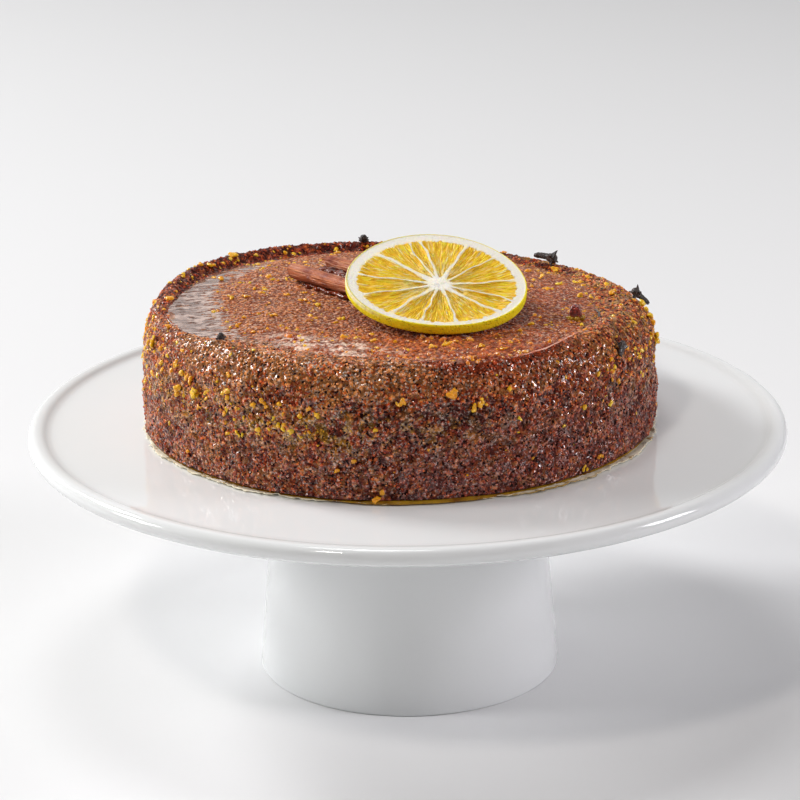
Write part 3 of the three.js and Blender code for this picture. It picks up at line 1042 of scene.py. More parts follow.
@dataclass(frozen=True)
class Citrus:
    """Dried citrus: golden pulp, cream membranes, white pith and yellow-green rind."""

    gold: Colour = (1.0, 0.77, 0.032)
    honey: Colour = (0.78, 0.38, 0.005)
    pale: Colour = (1.0, 0.85, 0.38)
    pith: Colour = (0.82, 0.785, 0.69)
    cream: Colour = (0.96, 0.80, 0.46)
    core: Colour = (0.94, 0.90, 0.80)
    rind: Colour = (1.0, 0.80, 0.010)
    olive: Colour = (1.0, 0.84, 0.014)
    pore: Colour = (0.30, 0.22, 0.01)

    def make(self) -> Material:
        """Builds the material.

        Returns:
            The material.
        """
        depth = {"Subsurface_Weight": 0.25, "Subsurface_Scale": 3 * MM, "Subsurface_Radius": (1.0, 0.7, 0.15)}
        look = Look("dried_citrus", IOR=1.42, Specular_IOR_Level=0.3, **depth)
        fibre = look.relief(Pattern.PULP, 0.8 * MM)
        strand = fibre["Tone"]
        edge = (look.noise(look.stored("place", "Vector"), 0.9 * MM) - 0.5) * 0.9
        flesh = (look["pulp"] + edge).ramp(0.3, 0.75)
        pulp = look.layers(
            self.gold,
            (strand.ramp(0.6, 0.95), self.pale),
            (look.blotch(0.0045, 2.6).ramp(0.45, 0.85) * 0.35, self.honey),
            ((fibre["Crevice"] | strand.ramp(0.3, 0.1)) * 0.72, self.honey),
            (look["veil"] * strand.ramp(0.15, 0.6), self.pale),
            (look["pulp"].ramp(1.0, 0.72) * strand.ramp(0.2, 0.7), self.pale),
        )
        cream = look.blotch(0.003, 2.0).ramp(0.3, 0.9)
        white = look.layers(self.pith, (cream, self.cream), (look["band"], self.pith), (look["core"], self.core))
        pores = look.cells(look.place, 1.2 * MM)[0].ramp(0.1, 0.35)
        spots = (pores.ramp(0.0, 1.0, 0.22, 0.0), self.pore)
        skin = look.layers(self.rind, (look.blotch(0.005, 2.2), self.olive), spots)
        look.feed(
            Base_Color=look.layers(white, (flesh, pulp), (look["skin"], skin)),
            Roughness=flesh.ramp(0.0, 1.0, 0.7, 0.45),
        )
        height = fibre["Height"] * flesh + look.grain(0.9 * MM, 3.0) * 0.5
        look.bump(height + pores * look["skin"] * 0.6, 0.8 * MM)
        return look.material


@dataclass(frozen=True)
class Bark:
    """Rolled cinnamon bark with lengthwise fibres."""

    brown: Colour = (0.72, 0.235, 0.085)
    dark: Colour = (0.25, 0.045, 0.018)
    pale: Colour = (0.84, 0.44, 0.24)

    def make(self) -> Material:
        """Builds the material.

        Returns:
            The material.
        """
        look = Look("cinnamon_bark", IOR=1.45, Specular_IOR_Level=0.35)
        fibre = look.relief(Pattern.BARK, 0.6 * MM)
        base = look.layers(
            self.brown,
            (look.blotch(0.007, 2.4).ramp(0.3, 0.9), self.dark),
            (fibre["Tone"].ramp(0.55, 1.0) * 0.5, self.pale),
            (fibre["Tone"].ramp(0.35, 0.1) * 0.35, self.dark),
            (fibre["Crevice"] * 0.5, self.dark),
            (look["shade"] * 0.85, self.dark),
        )
        look.feed(Base_Color=base, Roughness=look.blotch(0.004, 2.0).ramp(0.2, 0.8, 0.6, 0.36))
        look.bump(fibre["Height"] + look.grain(0.9 * MM, 3.0) * 0.4, 0.7 * MM)
        return look.material


@dataclass(frozen=True)
class CloveSkin:
    """Nearly black, wrinkled skin of a dried clove, or the dark red one of a candied bud."""

    name: str = "dried_clove"
    black: Colour = (0.014, 0.008, 0.006)
    brown: Colour = (0.085, 0.042, 0.030)
    coat: float = 0.35
    coat_roughness: float = 0.22

    def make(self) -> Material:
        """Builds the material.

        Returns:
            The material.
        """
        shine = {"Coat_Weight": self.coat, "Coat_Roughness": self.coat_roughness, "Coat_IOR": 1.6}
        look = Look(self.name, IOR=1.45, **shine)
        wrinkle = look.relief(Pattern.SKIN, 0.9 * MM, on_skin=False)
        coats = (look.blotch(0.0018, 2.5), self.brown), (wrinkle["Crevice"], self.black)
        look.feed(
            Base_Color=look.layers(self.black, *coats),
            Roughness=look.blotch(0.002, 2.0).ramp(0.2, 0.8, 0.65, 0.4),
        )
        look.bump(wrinkle["Height"], 0.5 * MM)
        return look.material


@dataclass(frozen=True)
class Syrup:
    """Amber or burnt syrup that has run down."""

    name: str = "amber_syrup"
    thin: Colour = (0.50, 0.28, 0.02)
    thick: Colour = (0.20, 0.075, 0.008)
    wave: float = 0.3

    def make(self) -> Material:
        """Builds the material.

        Returns:
            The material.
        """
        look = Look(self.name, IOR=1.5, Roughness=0.08)
        look.feed(Base_Color=look.blend(look.blotch(0.006, 3.0), self.thin, self.thick))
        look.bump(look.grain(2.2 * MM, 3.0), self.wave * MM, 0.8)
        return look.material


# ---- Studio ----


@dataclass(frozen=True)
class Softbox:
    """A square soft light that faces the cake."""

    name: str
    place: Place  # metres
    side: float  # metres
    watts: float
    tint: Colour = (1.0, 1.0, 1.0)
    aim_height: float = 0.12  # metres

    def build(self) -> None:
        """Makes the light."""
        data = bpy.data.lights.new(self.name, "AREA")
        data.shape, data.size, data.energy, data.color = "SQUARE", self.side, self.watts, self.tint
        light = place_object(self.name, data)
        light.location = self.place
        aim = Vector((0, 0, self.aim_height)) - Vector(self.place)
        light.rotation_euler = aim.to_track_quat("-Z", "Y").to_euler()


@dataclass
class Studio:
    """Camera, lights, surroundings and the pale floor."""

    eye: Place = (-3.07, -1128.93, 486.30)
    pitch: float = 18.557  # degrees down
    roll: float = -0.632
    lens: float = 135.0
    sensor: float = 36.0
    sight: float = 50.0  # metres
    shift: tuple[float, float] = (0.0006, 0.0079)
    floor_reach: float = 6.0  # metres from the middle
    softboxes: tuple[Softbox, ...] = (
        Softbox("key_back_left", (-2.0, 1.2, 2.0), 0.75, 50.0),
        Softbox("far_back_left", (-2.4, 2.2, 1.2), 1.0, 10.0),
        Softbox("side_left", (-2.4, -0.1, 1.2), 0.6, 24.0),
        Softbox("top", (-0.2, 0.2, 2.2), 0.6, 9.5),
        Softbox("side_right", (1.9, -0.3, 0.9), 0.6, 19.0, (0.98, 0.95, 1.0)),
        Softbox("high_front", (-0.7, -1.3, 1.9), 0.22, 9.0, (1.0, 0.94, 0.87)),
        Softbox("front_fill", (0.2, -2.4, 0.9), 1.4, 1.5, (1.0, 0.95, 0.9)),
    )

    def build_camera(self) -> None:
        """Places the camera."""
        data = bpy.data.cameras.new("camera")
        data.sensor_width, data.lens, data.clip_end = self.sensor, self.lens, self.sight
        data.shift_x, data.shift_y = self.shift
        pitch, roll = math.radians(self.pitch), math.radians(self.roll)
        ahead = Vector((0, math.cos(pitch), -math.sin(pitch)))
        level = Vector((1, 0, 0))
        above = Vector((0, math.sin(pitch), math.cos(pitch)))
        right = math.cos(roll) * level + math.sin(roll) * above
        up = -math.sin(roll) * level + math.cos(roll) * above
        turn = Matrix((right, up, -ahead)).transposed().to_4x4()
        camera = place_object("camera", data)
        camera.matrix_world = Matrix.Translation(Vector(self.eye) * MM) @ turn
        bpy.context.scene.camera = camera

    def build_surroundings(self) -> None:
        """Lights the world softly from behind, a little more from the left."""
        world = bpy.data.worlds.new("studio")
        bpy.context.scene.world = world
        world.use_nodes = True
        graph = Graph(world.node_tree)
        background = next(node for node in world.node_tree.nodes if node.type == "BACKGROUND")
        sight = graph.made("ShaderNodeTexCoord", output="Generated")
        parts = graph.fields(graph.node("ShaderNodeSeparateXYZ", {0: sight}))
        behind = parts["Y"] | 0.0
        glow = behind * behind * parts["X"].ramp(-0.5, 0.5, 0.78, 0.56) + 0.05
        graph.tree.links.new(glow.socket, background.inputs["Color"])

    def build_floor(self) -> None:
        """Lays the floor."""
        reach = self.floor_reach
        corners = np.array([(-reach, -reach, 0), (reach, -reach, 0), (reach, reach, 0), (-reach, reach, 0)])
        floor = make_object("floor", corners / MM, [(0, 1, 2, 3)])
        look = Look("pale_floor", Roughness=0.7)
        look.feed(Base_Color=look.blend(look.blotch(0.7, 1.0), (0.80, 0.80, 0.805), (0.78, 0.78, 0.785)))
        floor.data.materials.append(look.material)

    def build(self) -> None:
        """Builds the whole studio."""
        self.build_camera()
        self.build_surroundings()
        self.build_floor()
        for softbox in self.softboxes:
            softbox.build()
        bpy.context.scene.view_settings.view_transform = "Standard"


# ---- Pieces ----


def finish_piece(
    piece: Object, slot: str, replaced: Sequence[str] = (), material: Material | None = None
) -> Object:
    """Fixes a finished piece to the body and logs it.

    Args:
        piece: The piece, with its modifiers already taken off.
        slot: Material slot that its finish belongs to; not used.
        replaced: Frame nodes that it stands for.
        material: Its material, where it doesn't carry one yet.

    Returns:
        The same piece.
    """
    if material:
        piece.data.materials.clear()
        piece.data.materials.append(material)
    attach(piece, BODY)
    if replaced:
        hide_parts(*replaced)
    box = np.array([corner[:] for corner in piece.bound_box]) / MM
    low, high = box.min(0).round(1), box.max(0).round(1)
    LOG.info("%s: %d faces, %s to %s mm", piece.name, len(piece.data.polygons), low, high)
    return piece


@dataclass
class CakeStand:
    """A flat plate with a rounded lip on a hollow, tapering foot."""

    radius: float = 149.95
    lip_top: float = 104.1
    lip_bottom: float = 97.3
    lip_width: float = 8.0
    plate_top: float = 102.3
    plate_thickness: float = 6.8
    plate_bottom: float = 95.3
    foot_radius: float = 60.3
    foot_taper: float = 0.083
    foot_height: float = 78.0
    foot_flare: float = 13.0
    wall: float = 5.3
    edge_round: float = 0.7
    foot_heights: tuple[float, ...] = (12.0, 25.0, 40.0, 55.0, 68.0)
    lip_under: tuple[Spot, ...] = ((142.0, 95.3), (145.0, 96.1), (146.6, 97.0))
    lip_slope: tuple[Spot, ...] = (
        (145.4, 104.05), (144.0, 103.75), (143.2, 103.3),
        (142.0, 102.7), (140.0, 102.42), (137.2, 102.3),
    )
    columns: int = 288

    def arc(self, middle: Spot, radius: float, start: float, end: float, steps: int) -> list[Spot]:
        """Points of an arc in the upright plane, angles in degrees."""
        angles = np.radians(np.linspace(start, end, steps + 1))
        return [(middle[0] + radius * math.cos(a), middle[1] + radius * math.sin(a)) for a in angles]

    def line(self, start: Spot, end: Spot) -> list[Spot]:
        """Points of a straight line in the upright plane, without its ends."""
        return [tuple(np.array(start) * (1 - s) + np.array(end) * s) for s in np.linspace(0, 1, 7)[1:-1]]

    def profile(self) -> list[Spot]:
        """The upright outline, from the middle of the ceiling round the lip to the plate.

        Returns:
            Radius and height of each point.
        """
        ceiling = self.plate_top - self.plate_thickness
        neck = self.foot_radius - self.foot_taper * self.foot_height
        inner_round, inner_neck = self.foot_flare / 2, neck - self.wall
        lip = (self.lip_top - self.lip_bottom) / 2
        inner_foot = self.foot_radius - self.wall
        edge, flare = self.edge_round, self.foot_flare
        outline = [(20.0, ceiling), (35.0, ceiling)]
        outline += self.arc((inner_neck - inner_round, ceiling - inner_round), inner_round, 90, 0, 10)
        outline += self.line((inner_neck, ceiling - inner_round), (inner_foot, edge))
        outline += self.arc((inner_foot + edge, edge), edge, 180, 270, 4)
        outline += self.arc((self.foot_radius - edge, edge), edge, -90, 0, 4)
        outline += [(self.foot_radius - self.foot_taper * z, z) for z in self.foot_heights]
        outline += self.arc((neck + flare, self.foot_height), flare, 180, 90, 14)
        under = (self.radius - self.lip_width, self.plate_bottom)
        outline += self.line((neck + flare, self.foot_height + flare), under)
        outline += self.lip_under
        outline += self.arc((self.radius - lip, self.lip_bottom + lip), lip, -60, 90, 18)
        outline += self.lip_slope
        outline += [(r, self.plate_top) for r in (120.0, 95.0, 60.0, 25.0)]
        return outline

    def build(self, material: Material) -> Object:
        """Turns the outline into the stand.

        Args:
            material: Its finish.

        Returns:
            The finished piece.
        """
        outline = np.array(self.profile())
        angles = around(self.columns)
        r, z = outline[:, :1], outline[:, 1:]
        rings = np.stack([r * np.cos(angles), r * np.sin(angles), z + 0 * angles], axis=-1)
        ceiling = self.plate_top - self.plate_thickness
        stand = ring_body("porcelain_stand", rings, (0, 0, ceiling), (0, 0, self.plate_top))
        return finish_piece(stand, "porcelain", ["cake_stand"], material)


@dataclass(frozen=True)
class CakeForm:
    """The shape of the cake's skin, the same as its solid's."""

    centre: Spot = (-3.1, 2.5)
    base: float = 103.3
    radius: float = 102.0
    side_taper: float = 0.045
    foot_draw: float = 0.7
    foot_draw_height: float = 12.0
    rim: float = 50.2
    middle: float = 50.6
    reach: float = 9.2
    fall: float = 22.5
    width: float = 5.5
    step: float = 0.7
    doming: float = 2.4

    def rim_height(self, a: Array) -> Array:
        """Height of the rim's crest above the base."""
        return self.rim + humps(a, (1.2, -100, 55), (-6.3, 50, 52), (-1.5, 105, 32))

    def shoulder_reach(self, a: Array) -> Array:
        """How far the rounded shoulder runs out from the crest."""
        return self.reach + 5.3 * hump(a, 10, 50)

    def shoulder_fall(self, a: Array) -> Array:
        """How far the rounded shoulder falls from the crest."""
        return self.fall - 5 * hump(a, 10, 50)

    def rim_width(self, a: Array) -> Array:
        """From the crest in to where the smooth top begins."""
        return self.width + 2.5 * hump(a, 0, 60)

    def inner_step(self, a: Array) -> Array:
        """How far the smooth top lies below the rim."""
        return self.step + humps(a, (2.5, 157, 66, 4), (0.7, -15, 40))

    def side_radius(self, a: Array, height: Array) -> Array:
        """Radius of the side below the shoulder."""
        draw = np.maximum(0, 1 - height / self.foot_draw_height) ** 2 * self.foot_draw
        return self.radius + waves(a, (0.25, 3, 0.6), (0.2, 7, 2)) - self.side_taper * height - draw

    def crest_radius(self, a: Array) -> Array:
        """Radius of the rim's crest."""
        return self.side_radius(a, self.rim_height(a) - self.shoulder_fall(a)) - self.shoulder_reach(a)

    def floor_radius(self, a: Array) -> Array:
        """Radius where the smooth top begins."""
        return self.crest_radius(a) - self.rim_width(a)

    def height(self, r: Array, a: Array) -> Array:
        """Height of the top above the base, out to the end of the shoulder.

        Args:
            r: Distances from the cake's middle.
            a: Directions in radians.

        Returns:
            Heights above the base.
        """
        crest, inner = self.crest_radius(a), self.floor_radius(a)
        rim, step = self.rim_height(a), self.inner_step(a)
        dome = self.middle + (rim - step - self.middle) * unit(r / inner) ** self.doming
        wall = rim - step + step * smooth(r, inner, crest)
        off = unit((r - crest) / self.shoulder_reach(a))
        shoulder = rim - self.shoulder_fall(a) * (1 - np.sqrt(1 - off * off))
        return np.where(r < inner, dome, np.where(r < crest, wall, shoulder))

    def point(self, r: Array, a: Array, height: Array) -> Array:
        """A place in space from a radius, a direction and a height above the base."""
        r, a, height = np.broadcast_arrays(r, a, height)
        x, y = self.centre[0] + r * np.cos(a), self.centre[1] + r * np.sin(a)
        return np.stack([x, y, self.base + height], axis=-1)

    def skin(self, angle: float, height: float) -> tuple[Vector, Vector]:
        """A place on the side or the shoulder, with the direction away from the cake.

        Args:
            angle: Direction round the cake in degrees.
            height: Height above the cake's base.

        Returns:
            The place and the direction away.
        """
        a = np.array(math.radians(angle))
        rim, fall = float(self.rim_height(a)), float(self.shoulder_fall(a))
        lean = math.degrees(math.acos(unit(1 - (rim - height) / fall)))
        place, away, _ = self.shoulder(angle, lean)
        if height < rim - fall:
            place = Vector(self.point(self.side_radius(a, height), a, height))
        return place, away

    def shoulder(self, angle: float, degrees: float) -> tuple[Vector, Vector, Vector]:
        """A place on the shoulder, with the directions away from the cake and along the rim.

        Args:
            angle: Direction round the cake in degrees.
            degrees: 0 on the crest and 90 at the side.

        Returns:
            The place, the direction away and the direction along.
        """
        a = np.array(math.radians(angle))
        lean = math.radians(degrees)
        reach, fall = float(self.shoulder_reach(a)), float(self.shoulder_fall(a))
        r = float(self.crest_radius(a)) + reach * math.sin(lean)
        place = self.point(np.array(r), a, np.array(float(self.rim_height(a)) - fall * (1 - math.cos(lean))))
        radial = Vector((math.cos(a), math.sin(a), 0))
        tilt = Vector((math.sin(lean) / reach, math.cos(lean) / fall)).normalized()
        away = radial * tilt.x + Vector((0, 0, tilt.y))
        return Vector(place), away, Vector((0, 0, 1)).cross(radial)


@dataclass(frozen=True)
class Strewing:
    """Small lumps strewn over a finished surface."""

    name: str
    slot: str
    density: float  # lumps on each square metre where the surface's own density is 1
    sizes: tuple[float, float]  # smallest and largest radius
    seed: int
    flatness: float = 0.7  # height as a share of the width
    unevenness: float = 0.35  # 1 is very lumpy
    roundness: int = 1  # how finely a lump is made
    clumping: float = 0.0  # how much they lie in clumps, from 0 to 1
    where: str = "strew"  # the surface's attribute that says how densely they lie

    def build(self, host: Object, material: Material) -> Object:
        """Strews the lumps.

        Args:
            host: The surface, which stays as it is.
            material: Finish of the lumps.

        Returns:
            The finished piece.
        """
        piece = place_object(self.name, host.data.copy())
        share = np.zeros(len(piece.data.vertices), np.float32)
        piece.data.attributes[self.where].data.foreach_get("value", share)
        piece.data.attributes["strew"].data.foreach_set("value", share)
        values = {
            "Density": self.density,
            "Smallest": self.sizes[0] * MM,
            "Largest": self.sizes[1] * MM,
            "Flatness": self.flatness,
            "Unevenness": self.unevenness,
            "Roundness": self.roundness,
            "Clumping": self.clumping,
            "Seed": self.seed,
            "Material": material,
        }
        return finish_piece(grow(piece, scatter_tree(), values), self.slot)


@dataclass
class Cake:
    """The baked body: crumbly crust, glazed top, loose crumbs and zest."""

    form: CakeForm = CakeForm()
    columns: int = 980
    side_rows: int = 42
    shoulder_rows: int = 40
    rim_rows: int = 9
    glaze_columns: int = 720
    glaze_rows: int = 116
    glaze_depth: float = 1.0
    pool_level: float = 47.2

    def glaze_edge(self, a: Array) -> Array:
        """Radius out to which the glaze has run.

        Args:
            a: Directions in radians.

        Returns:
            Radii.
        """
        front = humps(a, (7.6, -65, 22, 6), (2.4, -68, 15), (-1.6, -121, 9))
        rest = humps(a, (2.2, 180, 38, 4), (-6.0, -2, 38), (-3.4, 121, 14), (-1.5, 60, 30))
        wave = waves(a, (0.3, 9, 1), (0.3, 17), (0.2, 31, 2), (0.15, 67))
        return 84.7 + front + rest + 5.0 * self.spill(a) + wave

    def spill(self, a: Array) -> Array:
        """How much the rim is worn down at the left, where the pool nearly runs over."""
        return hump(a, -163, 20, 4)

    def pool_mask(self, r: Array, a: Array) -> Array:
        """Where the syrup has pooled, at the left inside the rim."""
        inner = 75.0 + humps(a, (5.5, -139, 16), (4.5, 152, 22)) + waves(a, (0.8, 23))
        return smooth(r, inner - 13, inner + 7) * hump(a, 183, 50, 6)

    def strewn(self, r: Array, a: Array, h: Array) -> Array:
        """How densely zest lies on the side and the rim.

        Args:
            r: Distances from the cake's middle.
            a: Directions in radians.
            h: Heights above the cake's base.

        Returns:
            Shares, about 1 where it lies thick.
        """
        turned = np.degrees(np.arctan2(np.sin(a + math.pi), np.cos(a + math.pi)))  # 0 at the left
        fall = unit((turned - 12) / 62)
        band = bell(h, 41 - 16 * fall, 6.0) * smooth(turned, -8, 10) * smooth(turned, 88, 66)
        left = 1.5 * hump(a, 178, 16) * bell(h, 33, 15)
        right = 1.2 * hump(a, -14, 24) * bell(h, 34, 9)
        back = 0.4 * hump(a, 90, 75, 4) * bell(h, 34, 10)
        crest = 0.35 * smooth(h, 40, 48) * humps(a, (1, 150, 45, 4), (0.7, 20, 45), (0.5, 90, 40))
        return 1.3 * band + left + right + back + crest + 0.04

    def swells(self, a: Array, h: Array) -> Array:
        """Unevenness of the crust, from about -1 in its hollows to 1 on its swellings."""
        slopes = ((11, 0.21, 0.0), (17, -0.33, 1.0), (26, 0.45, 2.2), (41, -0.62, 4.0))
        return sum(np.sin(turns * a + rise * h + start) for turns, rise, start in slopes) / 2.4

    def build_crust(self, material: Material) -> Object:
        """Builds the crumbly body, sunk a little under the glaze.

        Args:
            material: Its finish.

        Returns:
            The finished piece.
        """
        form = self.form
        a = around(self.columns)
        rim, fall, crest = form.rim_height(a), form.shoulder_fall(a), form.crest_radius(a)
        low, foot = rim - fall, form.side_radius(a, 0 * a)
        profile = [(foot - 2.4, 0 * a), (foot - 1.0, 0 * a + 0.25)]
        for share in np.linspace(0, 1, self.side_rows + 1):
            height = 0.9 + (low - 0.9) * share
            profile.append((form.side_radius(a, height), height))
        for lean in np.radians(np.linspace(90, 0, self.shoulder_rows + 1)[1:]):
            profile.append((crest + form.shoulder_reach(a) * np.sin(lean), rim - fall * (1 - np.cos(lean))))
        edge = self.glaze_edge(a)
        inner = np.minimum(form.floor_radius(a), edge)
        radii = [crest + (inner - 1 - crest) * share for share in np.linspace(0, 1, self.rim_rows + 1)[1:]]
        radii += [inner - 3, inner - 6, inner * 0.7, inner * 0.35]
        profile += [(radius, form.height(radius, a)) for radius in radii]
        r, h = np.array(profile).swapaxes(0, 1)
        h = h - 1.3 * self.glaze_depth * smooth(edge - r, 0.5, 3.5)
        h = h - 3.0 * self.spill(a) * bell(r, crest, 5.5) * smooth(h, 30, 44)
        swell = self.swells(a, h) * smooth(h, 0, 2) * smooth(h, 48, 40) * smooth(r, edge + 1, edge + 5)
        rings = form.point(r + 0.6 * swell, a, h)
        attributes = {"place": rings * MM, "rough": smooth(h, 0, 2) * smooth(r, inner - 4, inner)}
        attributes |= self.crust_shares(r, a, h, r - edge, swell)
        ends = form.point(0, 0, 0), form.point(0, 0, form.middle - 1.3)
        crust = ring_body("cake_crust", rings, *ends, attributes)
        raise_relief(crust, Pattern.CRUMB, (Crust.grain, 1.25 * MM, 0.6), material)
        return finish_piece(crust, "crust", ["cake"])

    def crust_shares(self, r: Array, a: Array, h: Array, out: Array, swell: Array) -> dict[str, Array]:
        """How each tone, the painted light and shade, the painted glints and the zest are spread over the crust.

        Args:
            r: Radius of each corner.
            a: Direction of each column of corners.
            h: Height of each corner above the base.
            out: How far each corner lies outside the glaze.
            swell: How far the crust swells there.

        Returns:
            The shares by name: of toast and painted light, rust, soak, cool, painted shade and a darker band, strew,
                and painted glints.
        """
        # A toasted tone on the upper front shoulder, which also paints the light falling on that upward-facing crust;
        # lighter towards the left too.
        toast = smooth(h, 34, 47) * humps(a, (1, -105, 50, 4), (0.4, -20, 70, 4))
        rust = 0.35 * smooth(h, 35, 46) * hump(a, -64, 24, 4)
        rust = rust + 0.8 * bell(out, 1.2, 2.0) * smooth(h, 38, 43) * hump(a, -68, 26, 4)
        soak = bell(h, 26, 8) * humps(a, (0.8, -135, 42, 4), (0.5, -88, 22), (0.4, -15, 30))
        soak = soak + 0.75 * smooth(h, 36, 45) * hump(a, 12, 48, 4) + 0.4 * hump(a, 90, 75, 4) * bell(h, 30, 12)
        # Painted shade along the foot, below the glaze's edge at the front left and in the hollows between swellings,
        # with painted light on the swellings; plainly darker in a band across the front and at the back.
        dusk = 0.9 * bell(h, 31, 6) * hump(a, -84, 24, 3) + 0.8 * smooth(h, 2.5, 0.8)
        dusk = dusk + 0.4 * smooth(h, 40, 46) * hump(a, 110, 70, 4)
        dusk = dusk + 0.7 * bell(out, 1.5, 1.3) * smooth(h, 40, 44) * hump(a, -118, 22, 4)
        # How many flecks are painted as glints: more on the upper front and front left, fewer at the back.
        frost = 0.36 + 0.24 * smooth(h, 32, 46) * hump(a, -105, 60, 4)
        return {
            "toast": unit(toast + 0.35 * hump(a, -140, 40)),
            "rust": unit(rust),
            "soak": unit(soak),
            "cool": unit(smooth(h, 34, 20) * (0.9 * hump(a, -45, 48, 4) + 0.35)),
            "dusk": dusk + 0.3 * hump(a, 90, 80, 4) - 0.35 * swell + 0.1,
            "strew": self.strewn(r, a + 0 * r, h) * smooth(out, -1, 1.5) * smooth(h, 2, 5),
            "frost": unit(frost + humps(a, (0.3, -120, 55, 4), (-0.4, 90, 70, 4))),
        }

    def glaze_height(self, r: Array, a: Array) -> Array:
        """Height of the glaze's upper side, above the cake's base.

        Args:
            r: Distances from the cake's middle.
            a: Directions in radians.

        Returns:
            Heights above the base.
        """
        form = self.form
        top = form.height(r, a)
        shore = form.crest_radius(a) + 3.0 * self.spill(a)
        mask = self.pool_mask(r, a) * smooth(r, shore - 1.0, shore - 3.0)
        top = top * (1 - mask) + np.minimum(top, self.pool_level) * mask
        pucker = 1.5 * bell(r, 78, 2.2) * hump(a, -3, 4)
        hole = 1.6 * bell(r, 80.6, 1.3) * hump(a, -26, 1.6)
        crease = 0.55 * bell(r, self.glaze_edge(a) - 2.6, 0.7) * hump(a, -52, 14, 4)
        return top - pucker - hole - crease

    def build_glaze(self, material: Material) -> Object:
        """Builds the glazed top as a thin closed skin with a rounded edge.

        Args:
            material: Its finish.

        Returns:
            The finished piece.
        """
        form = self.form
        a = around(self.glaze_columns)
        edge, spill, crest = self.glaze_edge(a), self.spill(a), form.crest_radius(a)
        shares = np.concatenate([np.linspace(0.012, 0.955, self.glaze_rows), np.linspace(0.958, 1, 12)])
        r = shares[:, None] * edge
        bead = np.sqrt(unit(1 - unit(1 - (edge - r) / 1.6) ** 2))
        outward = smooth(r, crest - 2, crest) * (1 - spill)
        top = self.glaze_height(r, a + 0 * r) - 0.35 * (1 - bead) * self.glaze_depth + 0.4 * outward * bead
        under = form.height(r[-1], a) - 1.1 * self.glaze_depth - 3.2 * spill
        inner, outer = form.height(edge * 0.6, a) - 2.2, form.height(edge - 4, a) - 2.2 - 2.0 * spill
        radii = np.vstack([edge * 0.6, edge - 4, edge - 0.5, r[::-1]])
        rings = form.point(radii, a, np.vstack([inner, outer, under, top[::-1]]))
        angles, inside = a + 0 * radii, edge - radii
        pool = self.pool_mask(radii, angles)
        front = hump(angles, -95, 45, 4) * smooth(radii, 45, 65)
        amber = hump(angles, -76, 28, 4) * smooth(radii, 46, 64)
        sparkle = hump(angles, -115, 19, 3) * smooth(radii, 58, 72)
        attributes = {
            "place": rings * MM,
            "rough": (1 - 0.96 * smooth(pool, 0.2, 0.8)) * smooth(inside, 0.0, 1.5) * (0.5 + 0.75 * front),
            "pool": pool,
            "amber": unit(amber + 0.3 * hump(angles, -95, 40) * smooth(radii, 60, 75)),
            "sparkle": unit(sparkle + 0.4 * hump(angles, -84, 14) * smooth(radii, 66, 78)),
            "rust": 0.8 * bell(inside, 0.8, 1.8) * hump(angles, -72, 30, 4) + 0.75 * hump(angles, -22, 60, 4),
            "mustard": hump(angles, 8, 48, 4) * smooth(radii, 70, 80),
            "strew": self.top_strew(radii, angles),
            "grainy": (0.06 + 0.8 * front) * smooth(inside, -0.1, 0.6) * (1 - smooth(pool, 0.05, 0.4)),
        }
        ends = form.point(0, 0, form.middle - 2.2), form.point(0, 0, form.middle)
        glaze = ring_body("cake_glaze", rings, *ends, attributes)
        raise_relief(glaze, Pattern.GLAZE, (Glaze.lump, 1.5 * MM, 0.78), material)
        return finish_piece(glaze, "crust")

    def lay_trail(
        self, name: str, angles: tuple[float, ...], radii: tuple[float, ...], size: float, finish: Syrup
    ) -> None:
        """Lays a bead of syrup along the top.

        Args:
            name: Name of the piece.
            angles: Directions round the cake in degrees, evenly along the bead.
            radii: Distances from the cake's middle in the same places.
            size: Width of the bead.
            finish: Its finish.
        """
        share = np.linspace(0, 1, 24)
        given = np.linspace(0, 1, len(angles))
        a, r = np.radians(np.interp(share, given, angles)), np.interp(share, given, radii)
        path = self.form.point(r, a, self.form.height(r, a))
        trail = SyrupTrail(name, tuple(tuple(point) for point in path.tolist()), size, 0.42 * size, 0.25)
        trail.build(finish.make())

    def build_edge(self) -> None:
        """Builds a pale bead along a crease, coloured as a painted highlight, and a near-black bead that paints the
        shade in a crack, near the edge of the glaze, at the right.
        """
        # A pale bead whose colour paints the highlight along the crease.
        pale = Syrup("pale_syrup", (1.0, 0.66, 0.52), (0.75, 0.22, 0.12), 0.4)
        self.lay_trail("glaze_crease", (-38, -43.9, -53.1, -59.7, -64), (86.0, 88.2, 92.2, 93.3, 93.8), 0.55, pale)
        # A near-black bead that paints the shade in the crack.
        dark = Syrup("dark_syrup", (0.050, 0.012, 0.008), (0.020, 0.004, 0.003), 0.3)
        self.lay_trail("glaze_crack", (-12.0, -15.5, -19.5, -22.0), (78.0, 80.3, 81.8, 83.6), 0.8, dark)

    def top_strew(self, r: Array, a: Array) -> Array:
        """How densely zest lies on the glazed top.

        Args:
            r: Distances from the cake's middle.
            a: Directions in radians.

        Returns:
            Shares, about 1 where it lies thick.
        """
        x, y = r * np.cos(a), r * np.sin(a)
        slice_off = smooth(np.hypot((x - 15) / 37, (y + 26) / 33), 0.93, 1.05)
        heading = math.radians(CinnamonCurl.heading)
        from_x, from_y = x + 41, y - 22  # from the curl's front end
        along = from_x * math.cos(heading) + from_y * math.sin(heading)
        across = -from_x * math.sin(heading) + from_y * math.cos(heading)
        inside = (np.abs(along - 35) < 38) & (across > -7) & (across < 24)
        cluster = 0.35 + 0.65 * unit(np.sin(x / 9 + 1) * np.sin(y / 8) + 0.4)
        wall = 1.8 * bell(r, 82, 2.2) * hump(a, 110, 55, 4) + 0.8 * bell(r, 82, 6) * hump(a, 20, 40)
        pool = 1 - 0.9 * self.pool_mask(r, a)
        return (cluster * smooth(r, 12, 30) + wall) * slice_off * np.where(inside, 0, 1) * pool * smooth(r, 92, 88)

